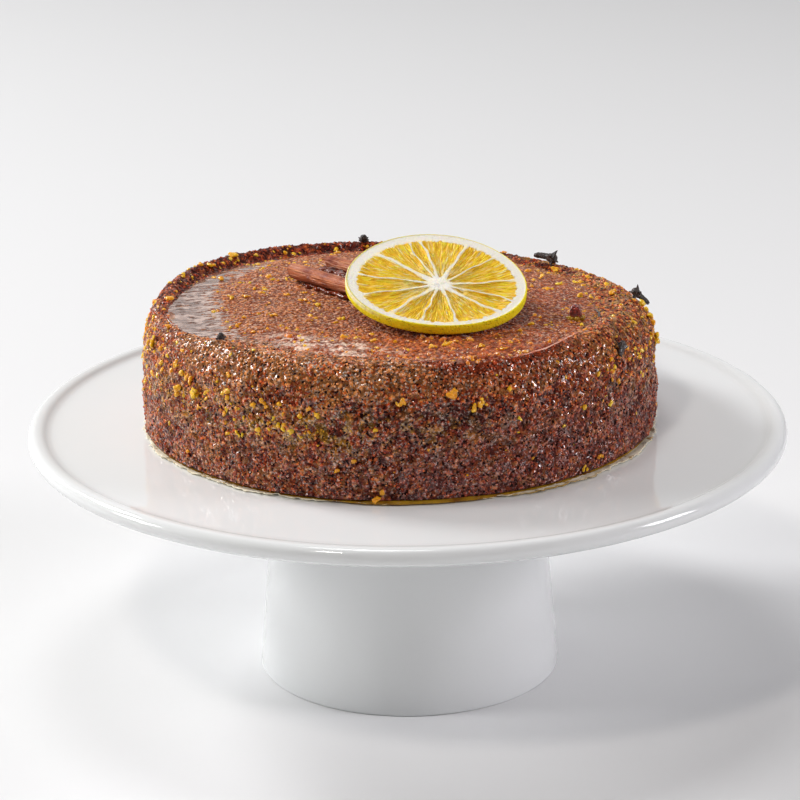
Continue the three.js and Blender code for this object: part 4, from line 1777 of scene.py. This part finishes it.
    def build(self) -> None:
        """Builds the cake with its crumbs and its zest."""
        crust = self.build_crust(Crust().make())
        glaze = self.build_glaze(Glaze().make())
        for name, tones, sizes, seed in (
            ("red_crumb", (1.0, 0.2, 0.8), (0.26, 0.6), 3),
            ("brown_crumb", (0.8, 0.0, 0.95), (0.24, 0.55), 5),
        ):
            crumbs = Strewing(f"{name}s", "crust", 110000.0, sizes, seed, 0.75, 1.0, where="rough")
            crumbs.build(crust, Crumb(name, *tones).make())
        grains = Strewing("glaze_grains", "crust", 90000.0, (0.45, 1.35), 19, 0.6, 1.2, 1, 1.0, "grainy")
        grains.build(glaze, GlazeGrain().make())
        zest = Zest().make()
        Strewing("side_zest", "zest", 90000.0, (0.3, 1.05), 11, 0.7, 1.4, 2, 1.0).build(crust, zest)
        Strewing("top_zest", "zest", 42000.0, (0.3, 1.05), 13, 0.7, 1.4, 2, 1.0).build(glaze, zest)
        ZestChips(self.form).build(zest)
        self.build_edge()


@dataclass
class ZestChips:
    """The larger bits of candied zest, each a few lumps grown together."""

    form: CakeForm = CakeForm()
    side: tuple[Place, ...] = (  # direction, height and size
        (-73, 36.5, 1.7), (-74.5, 35, 1.3), (-78.5, 40, 1.5), (-66, 39.5, 1.3),
        (-64, 28, 0.8), (-103, 12, 1.0), (-113, 25, 1.1), (-95, 28, 0.8),
        (-42.5, 5.2, 1.1), (-47, 2.6, 1.1), (-94.5, 2.6, 1.4), (-140, 31, 1.7),
        (-146, 29, 1.7), (-142, 36, 1.4), (-121.5, 23, 1.1), (-126, 21, 1.1),
        (-116, 35.5, 1.2), (-138, 26, 1.2), (-162, 41, 1.5), (-90, 38, 1.2),
        (-1, 39, 1.7), (-4, 33, 1.8), (-9, 37, 1.1), (-22, 37, 1.2),
        (176, 33, 1.5), (182, 27, 1.4),
    )
    top: tuple[Place, ...] = (  # direction, radius and size
        (-63, 83.5, 1.1), (-66.5, 77.5, 1.1), (-80, 73.5, 1.2), (-76, 72, 1.0),
        (-39.5, 66, 1.1), (151, 59, 1.1), (152, 50.5, 1.0), (166, 34, 0.9),
        (-166, 74, 0.8), (-151, 54, 1.1), (-155, 66, 0.9), (157, 77, 1.3),
        (179, 66, 1.2), (179, 60.5, 1.1), (-165, 38, 1.3), (-152, 35, 1.2),
        (148, 90, 1.7), (138, 91, 1.6), (-177, 91, 2.0), (40.5, 70, 1.1),
        (30, 66.5, 1.2), (20, 68.5, 1.1), (3, 73, 1.3), (25, 85, 1.2),
        (40, 84, 1.4), (4, 85, 1.4), (44, 88, 1.2),
    )
    strip: tuple[Spot, ...] = ((-0.6, 44.5), (-2.4, 43.0), (-4.2, 41.3), (-5.6, 39.6))  # direction and height
    lumps: int = 5
    voxel: float = 0.34
    seed: int = 29

    def lump(self, centre: Vector, away: Vector, size: float, draw: np.random.Generator) -> Part:
        """Corners and faces of one uneven lump, flattened towards the cake's skin.

        Args:
            centre: Where it lies.
            away: Direction away from the cake.
            size: Its radius.
            draw: The random draws, taken in order.

        Returns:
            Its corners and faces.
        """
        ball = bmesh.new()
        bmesh.ops.create_icosphere(ball, subdivisions=3, radius=1.0)
        corners = np.array([vert.co[:] for vert in ball.verts])
        faces = [[vert.index for vert in face.verts] for face in ball.faces]
        ball.free()
        for scale, depth in ((2.1, 0.22), (4.3, 0.12)):
            wave = np.sin(corners @ draw.normal(size=(3, 3)) * scale + draw.uniform(0, TURN, 3))
            corners = corners * (1 + depth * wave.mean(1, keepdims=True) * 2)
        normal = np.array(away)
        stretch = draw.uniform(0.75, 1.3, 3)
        corners = corners * stretch * size
        corners -= 0.3 * (corners @ normal)[:, None] * normal
        return corners + np.array(centre), faces

    def chip(self, place: Vector, away: Vector, size: float, draw: np.random.Generator) -> Part:
        """Corners and faces of one chip.

        Args:
            place: Where it lies.
            away: Direction away from the cake.
            size: About half its width.
            draw: The random draws, taken in order.

        Returns:
            Its corners and faces.
        """
        parts = []
        for _ in range(self.lumps):
            off = Vector(draw.normal(0, 0.62 * size, 3))
            off -= away * off.dot(away) * 0.6
            parts.append(self.lump(place + off + away * size * 0.2, away, size * draw.uniform(0.42, 0.72), draw))
        return join_parts(parts)

    def build(self, material: Material) -> Object:
        """Builds all the chips as one piece.

        Args:
            material: Its finish.

        Returns:
            The finished piece.
        """
        draw = np.random.default_rng(self.seed)
        spots = [(*self.form.skin(angle, height), size) for angle, height, size in self.side]
        for angle, radius, size in self.top:
            a, r = np.array(math.radians(angle)), np.array(float(radius))
            spots.append((Vector(self.form.point(r, a, self.form.height(r, a))), Vector((0, 0, 1)), size))
        parts = [self.chip(*spot, draw) for spot in spots]
        for angle, height in self.strip:
            place, away = self.form.skin(angle, height)
            parts.append(self.lump(place + away * 1.2, away, 1.25, draw))
        piece = make_object("zest_chips", *join_parts(parts))
        fuse = piece.modifiers.new("fuse", "REMESH")
        fuse.mode, fuse.voxel_size, fuse.use_smooth_shade = "VOXEL", self.voxel * MM, True
        bake_down(piece)
        corners = np.zeros(len(piece.data.vertices) * 3, np.float32)
        piece.data.vertices.foreach_get("co", corners)
        centres = np.array([place[:] for place, _, _ in spots]) * MM
        nearest = np.argmin(((corners.reshape(-1, 1, 3) - centres) ** 2).sum(-1), axis=1)
        tones = draw.uniform(0, 0.9, len(spots)).astype(np.float32)
        piece.data.attributes.new("tone", "FLOAT", "POINT").data.foreach_set("value", tones[nearest])
        return finish_piece(piece, "zest", (), material)


@dataclass
class SyrupTrail:
    """A bead of syrup along a path, swelling and thinning as it goes."""

    name: str
    path: tuple[Place, ...]
    width: float
    height: float
    unevenness: float = 0.35
    steps: int = 90
    columns: int = 20
    seed: float = 1.0

    def build(self, material: Material) -> Object:
        """Builds the bead.

        Args:
            material: Its finish.

        Returns:
            The finished piece.
        """
        table = np.array(self.path)
        walk = np.linspace(0, 1, self.steps)
        given = np.linspace(0, 1, len(table))
        line = np.stack([np.interp(walk, given, table[:, axis]) for axis in range(3)], axis=-1)
        ahead = np.gradient(line, axis=0)
        ahead[:, 2] = 0
        ahead /= np.linalg.norm(ahead, axis=1, keepdims=True)
        across = np.stack([-ahead[:, 1], ahead[:, 0], 0 * walk], axis=-1)
        ends = np.sqrt(unit(1 - (2 * walk - 1) ** 10))
        swell = 1 + self.unevenness * (np.sin(walk * 23 + self.seed) * 0.6 + np.sin(walk * 61 + 2 * self.seed) * 0.4)
        sway = 0.25 * self.width * np.sin(walk * 31 + 3 * self.seed)
        turn = around(self.columns)
        half = (0.5 * self.width * swell * ends + 0.02)[:, None]
        rise = (self.height * swell * ends + 0.02)[:, None]
        side = half * np.cos(turn) + sway[:, None]
        up = rise * np.sin(turn)
        rings = line[:, None] + side[..., None] * across[:, None] + up[..., None] * np.array([0, 0, 1.0])
        body = ring_body(self.name, rings, line[0], line[-1])
        return finish_piece(body, "syrup", (), material)


@dataclass
class BakingPaper:
    """A disc of baking paper with a nibbled edge, and the syrup that has run over it."""

    form: CakeForm = CakeForm()
    radius: float = 101.4
    thickness: float = 0.4
    bottom: float = 102.6
    raggedness: float = 0.8
    side_reach: float = 2.2
    front_tuck: float = 0.6
    columns: int = 1100
    rings: tuple[tuple[float, ...], ...] = (  # inset, share of the curl, lift and wetness
        (6, 0, 0, 0), (0.1, 1, 0, 1), (0, 1, 0.2, 1), (0.1, 1, 0.34, 1),
        (0.7, 0.5, 0.36, 0.7), (1.4, 0, 0.32, 0), (6, 0, 0.32, 0),
    )
    syrup_rings: tuple[tuple[float, ...], ...] = (  # out and up, each plain and for one unit of syrup
        (-2.5, 0, 0.05, 0), (0, 1.9, 0.02, -0.25), (0, 1.8, 0, 0.3), (0, 1.3, 0, 0.62),
        (0, 0.6, 0.2, 0.8), (-0.5, 0, 0.3, 0.9), (-2.5, 0, 0.4, 0),
    )

    def edge(self, a: Array) -> Array:
        """Radius of the paper's edge.

        Args:
            a: Directions in radians.

        Returns:
            Radii.
        """
        sides = humps(a, (0.45, -132, 34), (1, -42, 34))
        nibbles = waves(a, (0.6, 11), (0.5, 23, 1.3), (0.3, 223)) + 0.5 * np.sin(61 * a) * np.sin(7 * a)
        nibbles += 0.45 * np.sin(131 * a + 2) * np.sin(3 * a + 1)
        return self.radius + self.side_reach * sides - self.front_tuck * hump(a, -90, 18) + self.raggedness * nibbles

    def build(self) -> None:
        """Builds the paper and the syrup at its edge."""
        a, place = around(self.columns), self.form.point
        curl = 0.3 * (0.5 + 0.5 * np.sin(37 * a + np.sin(5 * a) * 3)) + 0.25 * unit(np.sin(83 * a + 1))
        low, high = self.bottom - self.form.base, self.bottom + self.thickness - self.form.base
        inset, bend, lift, soak = np.array(self.rings).T[..., None]
        rings = place(self.edge(a) - inset, a, low + curl * bend + lift)
        runs = humps(a, (1, -57, 9, 4), (0.7, -45, 3), (1, -84, 14, 4)) + 0.6 * hump(a, -150, 8) * np.sin(40 * a)
        ends = place(0, 0, low), place(0, 0, high - 0.08)
        paper = ring_body("baking_paper_sheet", rings, *ends, {"wet": unit(runs) * soak})
        finish_piece(paper, "paper", ["baking_paper"], Paper().make())
        self.build_syrup()

    def build_syrup(self) -> None:
        """Builds the line of syrup round the foot of the cake."""
        a = around(self.columns)
        amount = humps(a, (0.85, -86, 17, 4), (0.25, -62, 8)) + 0.12 * np.sin(13 * a) * np.sin(5 * a + 1)
        amount = np.clip(amount + waves(a, (0.06, 47)), 0.02, 1.2)
        side = self.form.side_radius(a, 0 * a) - 0.7
        low = self.bottom + self.thickness - self.form.base
        out, spread, up, rise = np.array(self.syrup_rings).T[..., None]
        rings = self.form.point(side + out + spread * amount, a, low + up + rise * amount)
        quads = ring_quads(len(rings), self.columns, closed=True)
        finish_piece(make_object("syrup_line", rings.reshape(-1, 3), quads), "syrup", (), Syrup().make())


@dataclass
class CitrusSlice:
    """A dried round of citrus that leans against the cinnamon."""

    radius: float = 34.8
    unevenness: float = 0.017
    thickness: float = 4.2
    face_centre: Place = (11.6, -24.4, 166.75)
    tip_forward: float = 14.2
    tip_sideways: float = 3.5
    core: Spot = (1.3, -3.5)
    first_membrane: float = 5.0
    segment_widths: tuple[float, ...] = (36, 28, 31, 13, 29, 34, 30, 30, 22, 28, 30, 22, 27)
    pulp_share: float = 0.895
    pulp_shift: float = 0.02
    pulp_sink: float = 0.8
    columns: int = 560
    face_rows: int = 56

    def basis(self) -> Matrix:
        """The slice's own axes and middle, as they lie in the scene.

        Returns:
            Turn and place, in millimetres.
        """
        forward, sideways = math.radians(self.tip_forward), math.radians(self.tip_sideways)
        level = math.cos(sideways)
        normal = Vector((math.sin(sideways), -math.sin(forward) * level, math.cos(forward) * level))
        across = Vector((0, 1, 0)).cross(normal).normalized()
        along = normal.cross(across)
        turn = Matrix((across, along, normal)).transposed().to_4x4()
        return Matrix.Translation(Vector(self.face_centre) - normal * self.thickness / 2) @ turn

    def membranes(self) -> Array:
        """Directions of the membranes in radians."""
        return np.radians(self.first_membrane + np.concatenate([[0], np.cumsum(self.segment_widths)[:-1]]))

    def masks(self, a: Array, share: Array) -> tuple[Array, Array, Array]:
        """Where the pulp lies, how deep it has sunk and where the white core is.

        Args:
            a: Directions of the edge points.
            share: How far a place lies from the core to the edge, from 0 to 1.

        Returns:
            Pulp, sinking and core masks from 0 to 1.
        """
        lines = self.membranes()
        number = np.arange(len(lines))[:, None, None]
        bend = 0.03 * np.sin(5 * share + 2.3 * number) + 0.015 * np.sin(17 * share + 3.1 * number)
        off = a - lines[:, None, None] + bend * smooth(share, 0.15, 0.5)
        off = np.abs(np.arctan2(np.sin(off), np.cos(off)))
        thick = np.where(number == 5, 2.2, 1.15 + 0.4 * np.sin(4.1 * number))
        gap = np.min(off / thick, axis=0) * self.radius * share
        flare = 0.5 * smooth(share, 0.42, 0.12) + 0.5 * smooth(share, 0.78, 0.88)
        ragged = 0.010 * np.sin(37 * a + 2) * np.sin(5 * a) + 0.008 * np.sin(71 * a) * np.sin(9 * a + 1)
        end = self.pulp_share - self.pulp_shift * np.sin(a) + ragged
        inside = smooth(share, 0.10, 0.17)
        pulp = smooth(gap, 0.15 + flare * 0.5, 0.55 + flare) * inside * smooth(share, end, end - 0.035)
        sunk = smooth(gap, 0.2, 1.6 + flare) * inside * smooth(share, end + 0.01, end - 0.14)
        return pulp, sunk, smooth(share, 0.19, 0.06)

    def build(self, material: Material) -> Object:
        """Builds the slice.

        Args:
            material: Its finish.

        Returns:
            The finished piece.
        """
        a = around(self.columns)
        outline = self.radius * (1 - self.unevenness * np.sin(3 * a))
        rim = np.stack([outline * np.cos(a), outline * np.sin(a)], axis=-1)
        core = np.array(self.core)
        half = self.thickness / 2
        shares = np.concatenate([np.linspace(0.03, 0.84, self.face_rows), np.linspace(0.85, 0.988, 14)])
        share = shares[:, None] + 0 * a
        pulp, sunk, heart = self.masks(a[None] + 0 * share, share)
        plump = 0.2 * np.sin(share * 9 + 3 * a) * sunk
        sink = self.pulp_sink * sunk * (0.85 + 0.25 * smooth(share, 0.2, 0.6)) - plump
        dip = 0.12 * smooth(share, 0.84, 0.92) * smooth(share, 1.0, 0.94)
        pit = 1.2 * bell(share, 0.28, 0.035) * hump(a, -28, 6)
        face = half - 0.12 - sink - dip - pit + 0.1 * heart
        flat = core + (rim - core) * shares[:, None, None]

        def ring(points: Array, height: Array) -> Array:
            """Joins flat places and heights."""
            return np.concatenate([points, np.broadcast_to(height, points.shape[:-1])[..., None]], axis=-1)

        top = ring(flat, face)
        bottom = ring(flat, -face)
        bulge = [(-0.9, 0.993), (-0.72, 0.999), (-0.36, 1.0), (0.0, 1.0), (0.36, 1.0), (0.72, 0.999), (0.9, 0.993)]
        band = np.stack([ring(core + (rim - core) * s, np.full(len(a), half * t)) for t, s in bulge])
        rings = np.concatenate([bottom, band, top[::-1]])
        fill = np.zeros((len(bulge), self.columns))
        all_share = np.concatenate([share, fill + 1, share[::-1]])
        upper = np.array([height > 0 for height, _ in bulge])[:, None]
        bare = np.concatenate([0 * share, hump(a, 185, 42, 4) * upper, 0 * share])
        squeeze = np.stack([30 * np.cos(a) + 0 * all_share, 30 * np.sin(a) + 0 * all_share, all_share * 6.5], axis=-1)
        attributes = {
            "place": squeeze * MM,
            "pulp": np.concatenate([pulp, fill, pulp[::-1]]),
            "core": np.concatenate([heart, fill, heart[::-1]]),
            "veil": 0.9 * smooth(all_share, 0.58, 0.22) * (0.55 + 0.45 * np.sin(3 * a + 7 * all_share + 1)),
            "skin": smooth(all_share, 0.972, 0.99) * (1 - 0.75 * bare),
            "band": smooth(all_share, 0.86, 0.9) * (1 - 0.6 * hump(a, -90, 60, 4)),
        }
        attributes["rough"] = 0.15 + 0.85 * attributes["pulp"]
        ends = moved(np.array([(*core, -half), (*core, half)]), self.basis())
        body = ring_body("dried_slice", moved(rings, self.basis()), *ends, attributes)
        raise_relief(body, Pattern.PULP, (1.0 * MM, 0.75 * MM, 0.65), material)
        return finish_piece(body, "citrus", ["citrus_slice"])


@dataclass
class CinnamonCurl:
    """A sheet of bark whose two edges have rolled inwards."""

    length: float = 70.0
    bark: float = 1.0
    roll_radii: tuple[float, float] = (3.6, 3.8)
    roll_spacing: float = 17.0
    inner_radius: float = 1.3
    winding: float = 430.0
    front_roll_end: Spot = (-44.4, 24.2)
    heading: float = -50.8
    end_slant: float = 2.0
    rise: float = 1.7
    roll_steps: int = 64
    rows: int = 110

    def roll(self, centre: float, radius: float, direction: int) -> tuple[Array, Array]:
        """Middle line of the bark in one roll, and the direction into the roll.

        Args:
            centre: Where the roll's middle lies across the stick.
            radius: Its outer radius.
            direction: 1 or -1, which way round it is rolled.

        Returns:
            Places across and above the stick, and the directions.
        """
        share = np.linspace(0, 1, self.roll_steps + 1)
        angle = np.radians(-90 + direction * self.winding * share)
        outer = radius - self.bark / 2
        reach = outer + (self.inner_radius - outer) * share
        outward = np.stack([np.cos(angle), np.sin(angle)], axis=-1)
        return np.array([centre, radius]) + outward * reach[:, None], -outward

    def section(self) -> Array:
        """The closed outline of the bark across its length.

        Returns:
            Places across and above the stick, in order.
        """
        front, back = self.roll_radii
        first, first_in = self.roll(0, front, -1)
        second, second_in = self.roll(self.roll_spacing, back, 1)
        span = np.linspace(0, 1, 14)[1:-1, None]
        middle = first[0] + (second[0] - first[0]) * span
        up = np.repeat([[0.0, 1.0]], len(middle), axis=0)
        line = np.concatenate([first[::-1], middle, second])
        inward = np.concatenate([first_in[::-1], up, second_in])
        return np.concatenate([line - inward * self.bark / 2, (line + inward * self.bark / 2)[::-1]])

    def build(self, material: Material) -> Object:
        """Builds the curl on the top of the cake.

        Args:
            material: Its finish.

        Returns:
            The finished piece.
        """
        outline = self.section()
        steps = np.diff(np.vstack([outline, outline[:1]]), axis=0)
        walk = np.concatenate([[0], np.cumsum(np.linalg.norm(steps, axis=1))[:-1]])
        along = np.linspace(0, 1, self.rows + 1)[:, None] * self.length
        slant = self.end_slant / self.roll_spacing * outline[:, 0]
        ragged = 0.35 * np.sin(walk * 1.9) + 0.25 * np.sin(walk * 5.3 + 1)
        lean = 0.3 * (outline[:, 1] - self.roll_radii[0])
        ends = smooth(along, 8.0, 0.0) * (-ragged - lean * 0.9)
        x = along + slant + ends
        y = outline[:, 0] + 0 * x
        z = outline[:, 1] + 0 * x
        turn = Matrix.Rotation(math.radians(self.heading), 3, "Z") @ Matrix.Rotation(math.radians(-self.rise), 3, "Y")
        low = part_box("cinnamon_stick")[0].z / MM
        rings = np.stack([x, y, z], axis=-1) @ np.array(turn).T + np.array([*self.front_roll_end, low])
        gap = smooth(y, 2.5, 5.0) * smooth(y, 14.5, 12.0)
        shade = smooth(along, 1.2, 0.0) + smooth(z, 2.6, 0.6) * smooth(x, 0, 1) + gap
        place = np.stack([walk + 0 * x, along * 0.06 + 0 * x, 0 * x], axis=-1) * MM
        attributes = {"place": place.reshape(-1, 3), "rough": (1 + 0 * x).ravel(), "shade": unit(shade).ravel()}
        count, columns = rings.shape[:2]
        across = [(n, n + 1, columns - 2 - n, columns - 1 - n) for n in range(columns // 2 - 1)]
        faces = ring_quads(count, columns) + [quad[::-1] for quad in across]
        faces += [tuple((count - 1) * columns + corner for corner in quad) for quad in across]
        stick = make_object("cinnamon_curl", rings.reshape(-1, 3), faces, attributes)
        raise_relief(stick, Pattern.BARK, (0.8 * MM, 0.22 * MM, 0.6), material)
        self.build_syrup(turn, low)
        return finish_piece(stick, "bark", ["cinnamon_stick"])

    def build_syrup(self, turn: Matrix, low: float) -> None:
        """Lays dark syrup between the rolls and along the front one's foot, where it also paints the roll's contact
        shadow.

        Args:
            turn: The stick's turn.
            low: Height of its lowest point.
        """

        def line(*points: Place) -> tuple[Place, ...]:
            """Turns places along, across and above the stick into places in the scene."""
            shift = Vector((*self.front_roll_end, low))
            return tuple(tuple(turn @ Vector(point) + shift) for point in points)

        burnt = Syrup("burnt_syrup", (0.20, 0.030, 0.008), (0.070, 0.010, 0.004), 0.4).make()
        band = line((12, 3.4, 5.4), (24, 3.6, 5.2), (50, 3.8, 5.0))
        SyrupTrail("syrup_in_curl", band, 4.2, 1.7, 0.2, seed=2.0).build(burnt)
        # Dark syrup at the front roll's foot, which also paints its contact shadow.
        foot = line((9, -2.8, 0.0), (22, -2.9, 0.0), (46, -3.1, 0.2))
        SyrupTrail("syrup_under_curl", foot, 2.4, 0.8, 0.3, seed=4.0).build(burnt)


@dataclass
class Clove:
    """A dried clove: a slim stem, four pointed sepals and a round bud."""

    name: str
    sunk: float = 0.0
    bulk: float = 1.0
    flatness: float = 1.0
    bow: float = 0.0
    flare: float = 0.7
    columns: int = 56
    steps: int = 54
    rings: tuple[Place, ...] = (  # height, radius and reach of the sepals
        (0.0, 0.75, 0.0), (1.2, 1.05, 0.0), (5.6, 1.15, 0.0), (7.3, 1.45, 0.2), (8.4, 1.5, 1.5),
        (9.0, 1.5, 1.9), (9.3, 1.55, 0.9), (9.6, 1.65, 0.1), (10.3, 1.5, 0.0), (10.8, 0.9, 0.0),
    )

    def build(self, material: Material, axes: Matrix) -> Object:
        """Builds the clove in the given place.

        Args:
            material: Its finish.
            axes: Where its foot stands and how it is turned, in millimetres.

        Returns:
            The piece, with its modifiers taken off.
        """
        table = np.array(self.rings)
        tip = table[-1, 0]
        heights = np.linspace(self.sunk, tip, self.steps)
        radius = np.interp(heights, table[:, 0], table[:, 1])
        sepal = np.interp(heights, table[:, 0], table[:, 2])
        a = around(self.columns)
        lobe = np.maximum(0, -np.cos(4 * a + 0.4)) ** 1.6
        reach = self.bulk * (radius[:, None] + sepal[:, None] * lobe)
        share = (heights - self.sunk) / (tip - self.sunk)
        x = reach * np.cos(a) + self.bow * np.sin(math.pi * share)[:, None]
        y = reach * np.sin(a) * self.flatness
        z = (heights - self.sunk)[:, None] + self.flare * (sepal / 1.9)[:, None] * lobe
        rings = moved(np.stack([x, y, z], axis=-1), axes)
        attributes = {"place": rings * MM, "rough": 1 + 0 * x}
        body = ring_body(self.name, rings, rings[0].mean(0), rings[-1].mean(0), attributes)
        return raise_relief(body, Pattern.SKIN, (0.9 * MM, 0.35 * MM, 0.75), material)


@dataclass
class Cloves:
    """The six cloves on the rim and the top."""

    form: CakeForm = CakeForm()

    def on_shoulder(self, angle: float, slope: float, turn: float, lift: float, rise: float) -> Matrix:
        """Axes of a clove that lies on or stands in the shoulder.

        Args:
            angle: Direction round the cake in degrees.
            slope: 0 on the crest and 90 at the side.
            turn: 0 with the stem along the rim, 90 with the stem down the side.
            lift: How far its axis is from the cake's skin.
            rise: How far the bud is turned up from the skin, in degrees.

        Returns:
            The clove's place and turn.
        """
        place, away, along = self.form.shoulder(angle, slope)
        down = along.cross(away)
        stem = along * math.cos(math.radians(turn)) + down * math.sin(math.radians(turn))
        bud = -stem * math.cos(math.radians(rise)) + away * math.sin(math.radians(rise))
        thin = bud.cross(away).cross(bud).normalized()
        wide = thin.cross(bud)
        axes = Matrix((wide, thin, bud)).transposed().to_4x4()
        return Matrix.Translation(place + away * lift) @ axes

    def on_top(self, angle: float, radius: float, reach: float) -> Matrix:
        """Place of a clove that stands upright on the top inside the rim.

        Args:
            angle: Direction round the cake in degrees.
            radius: Distance from the cake's middle.
            reach: How far its foot spreads.

        Returns:
            The clove's place.
        """
        a = np.array(math.radians(angle))
        highest = max(float(self.form.height(np.array(radius + step), a)) for step in (-reach, 0, reach))
        return Matrix.Translation(Vector(self.form.point(np.array(radius), a, np.array(highest + 0.3))))

    def build(self, material: Material) -> None:
        """Builds all six.

        Args:
            material: Its finish.
        """
        plan = (
            (Clove("clove_bud_1", sunk=7.9, bulk=0.95, flare=0.3), self.on_shoulder(99, 0, 0, 0.2, 90)),
            (Clove("clove_bud_2", bow=0.8, bulk=1.2), self.on_shoulder(49, -9, -2.7, 3.3, -2.5)),
            (Clove("clove_bud_3"), self.on_shoulder(4.7, 49.7, 65, 2.3, -8.6)),
            (Clove("clove_bud_4", sunk=4.2, flatness=0.55), self.on_shoulder(-32.9, 59.2, 138, 0.9, 0)),
            (Clove("clove_bud_5", sunk=8.4, bulk=0.8, flare=0.1), self.on_top(-137, 90.7, 2.4)),
        )
        for number, (clove, axes) in enumerate(plan, start=1):
            finish_piece(clove.build(material, axes), "clove", [f"clove_{number}"])
        self.build_knob()

    def build_knob(self) -> None:
        """Builds the sixth, a syrup-coated bud set deep in the glaze, with syrup round its foot."""
        finish = CloveSkin("candied_clove", (0.14, 0.006, 0.003), (0.50, 0.040, 0.012), 1.0, 0.05)
        rings = ((0.0, 2.6, 0.2), (1.2, 2.6, 0.3), (2.6, 2.2, 0.6), (3.6, 1.8, 0.7), (4.4, 1.4, 0.3), (4.9, 0.8, 0.0))
        place, reach = self.on_top(-24.8, 74.6, 2.6), 2.7
        knob = Clove("clove_bud_6", flare=0.2, rings=rings).build(finish.make(), place)
        finish_piece(knob, "clove", ["clove_6"])
        turn = np.radians(np.linspace(170, 400, 16))
        foot = place.translation
        path = tuple((foot.x + reach * math.cos(a), foot.y + reach * math.sin(a), foot.z - 0.2) for a in turn)
        SyrupTrail("syrup_at_clove", path, 1.9, 0.9, 0.4, seed=3.0).build(Syrup(wave=0.2).make())


def main() -> None:
    """Builds the cake on its stand, piece by piece."""
    logging.basicConfig(level=logging.INFO, format="%(name)s: %(message)s")
    Studio().build()
    CakeStand().build(Porcelain().make())
    BakingPaper().build()
    Cake().build()
    CitrusSlice().build(Citrus().make())
    CinnamonCurl().build(Bark().make())
    Cloves().build(CloveSkin().make())


if __name__ == "__main__":
    main()
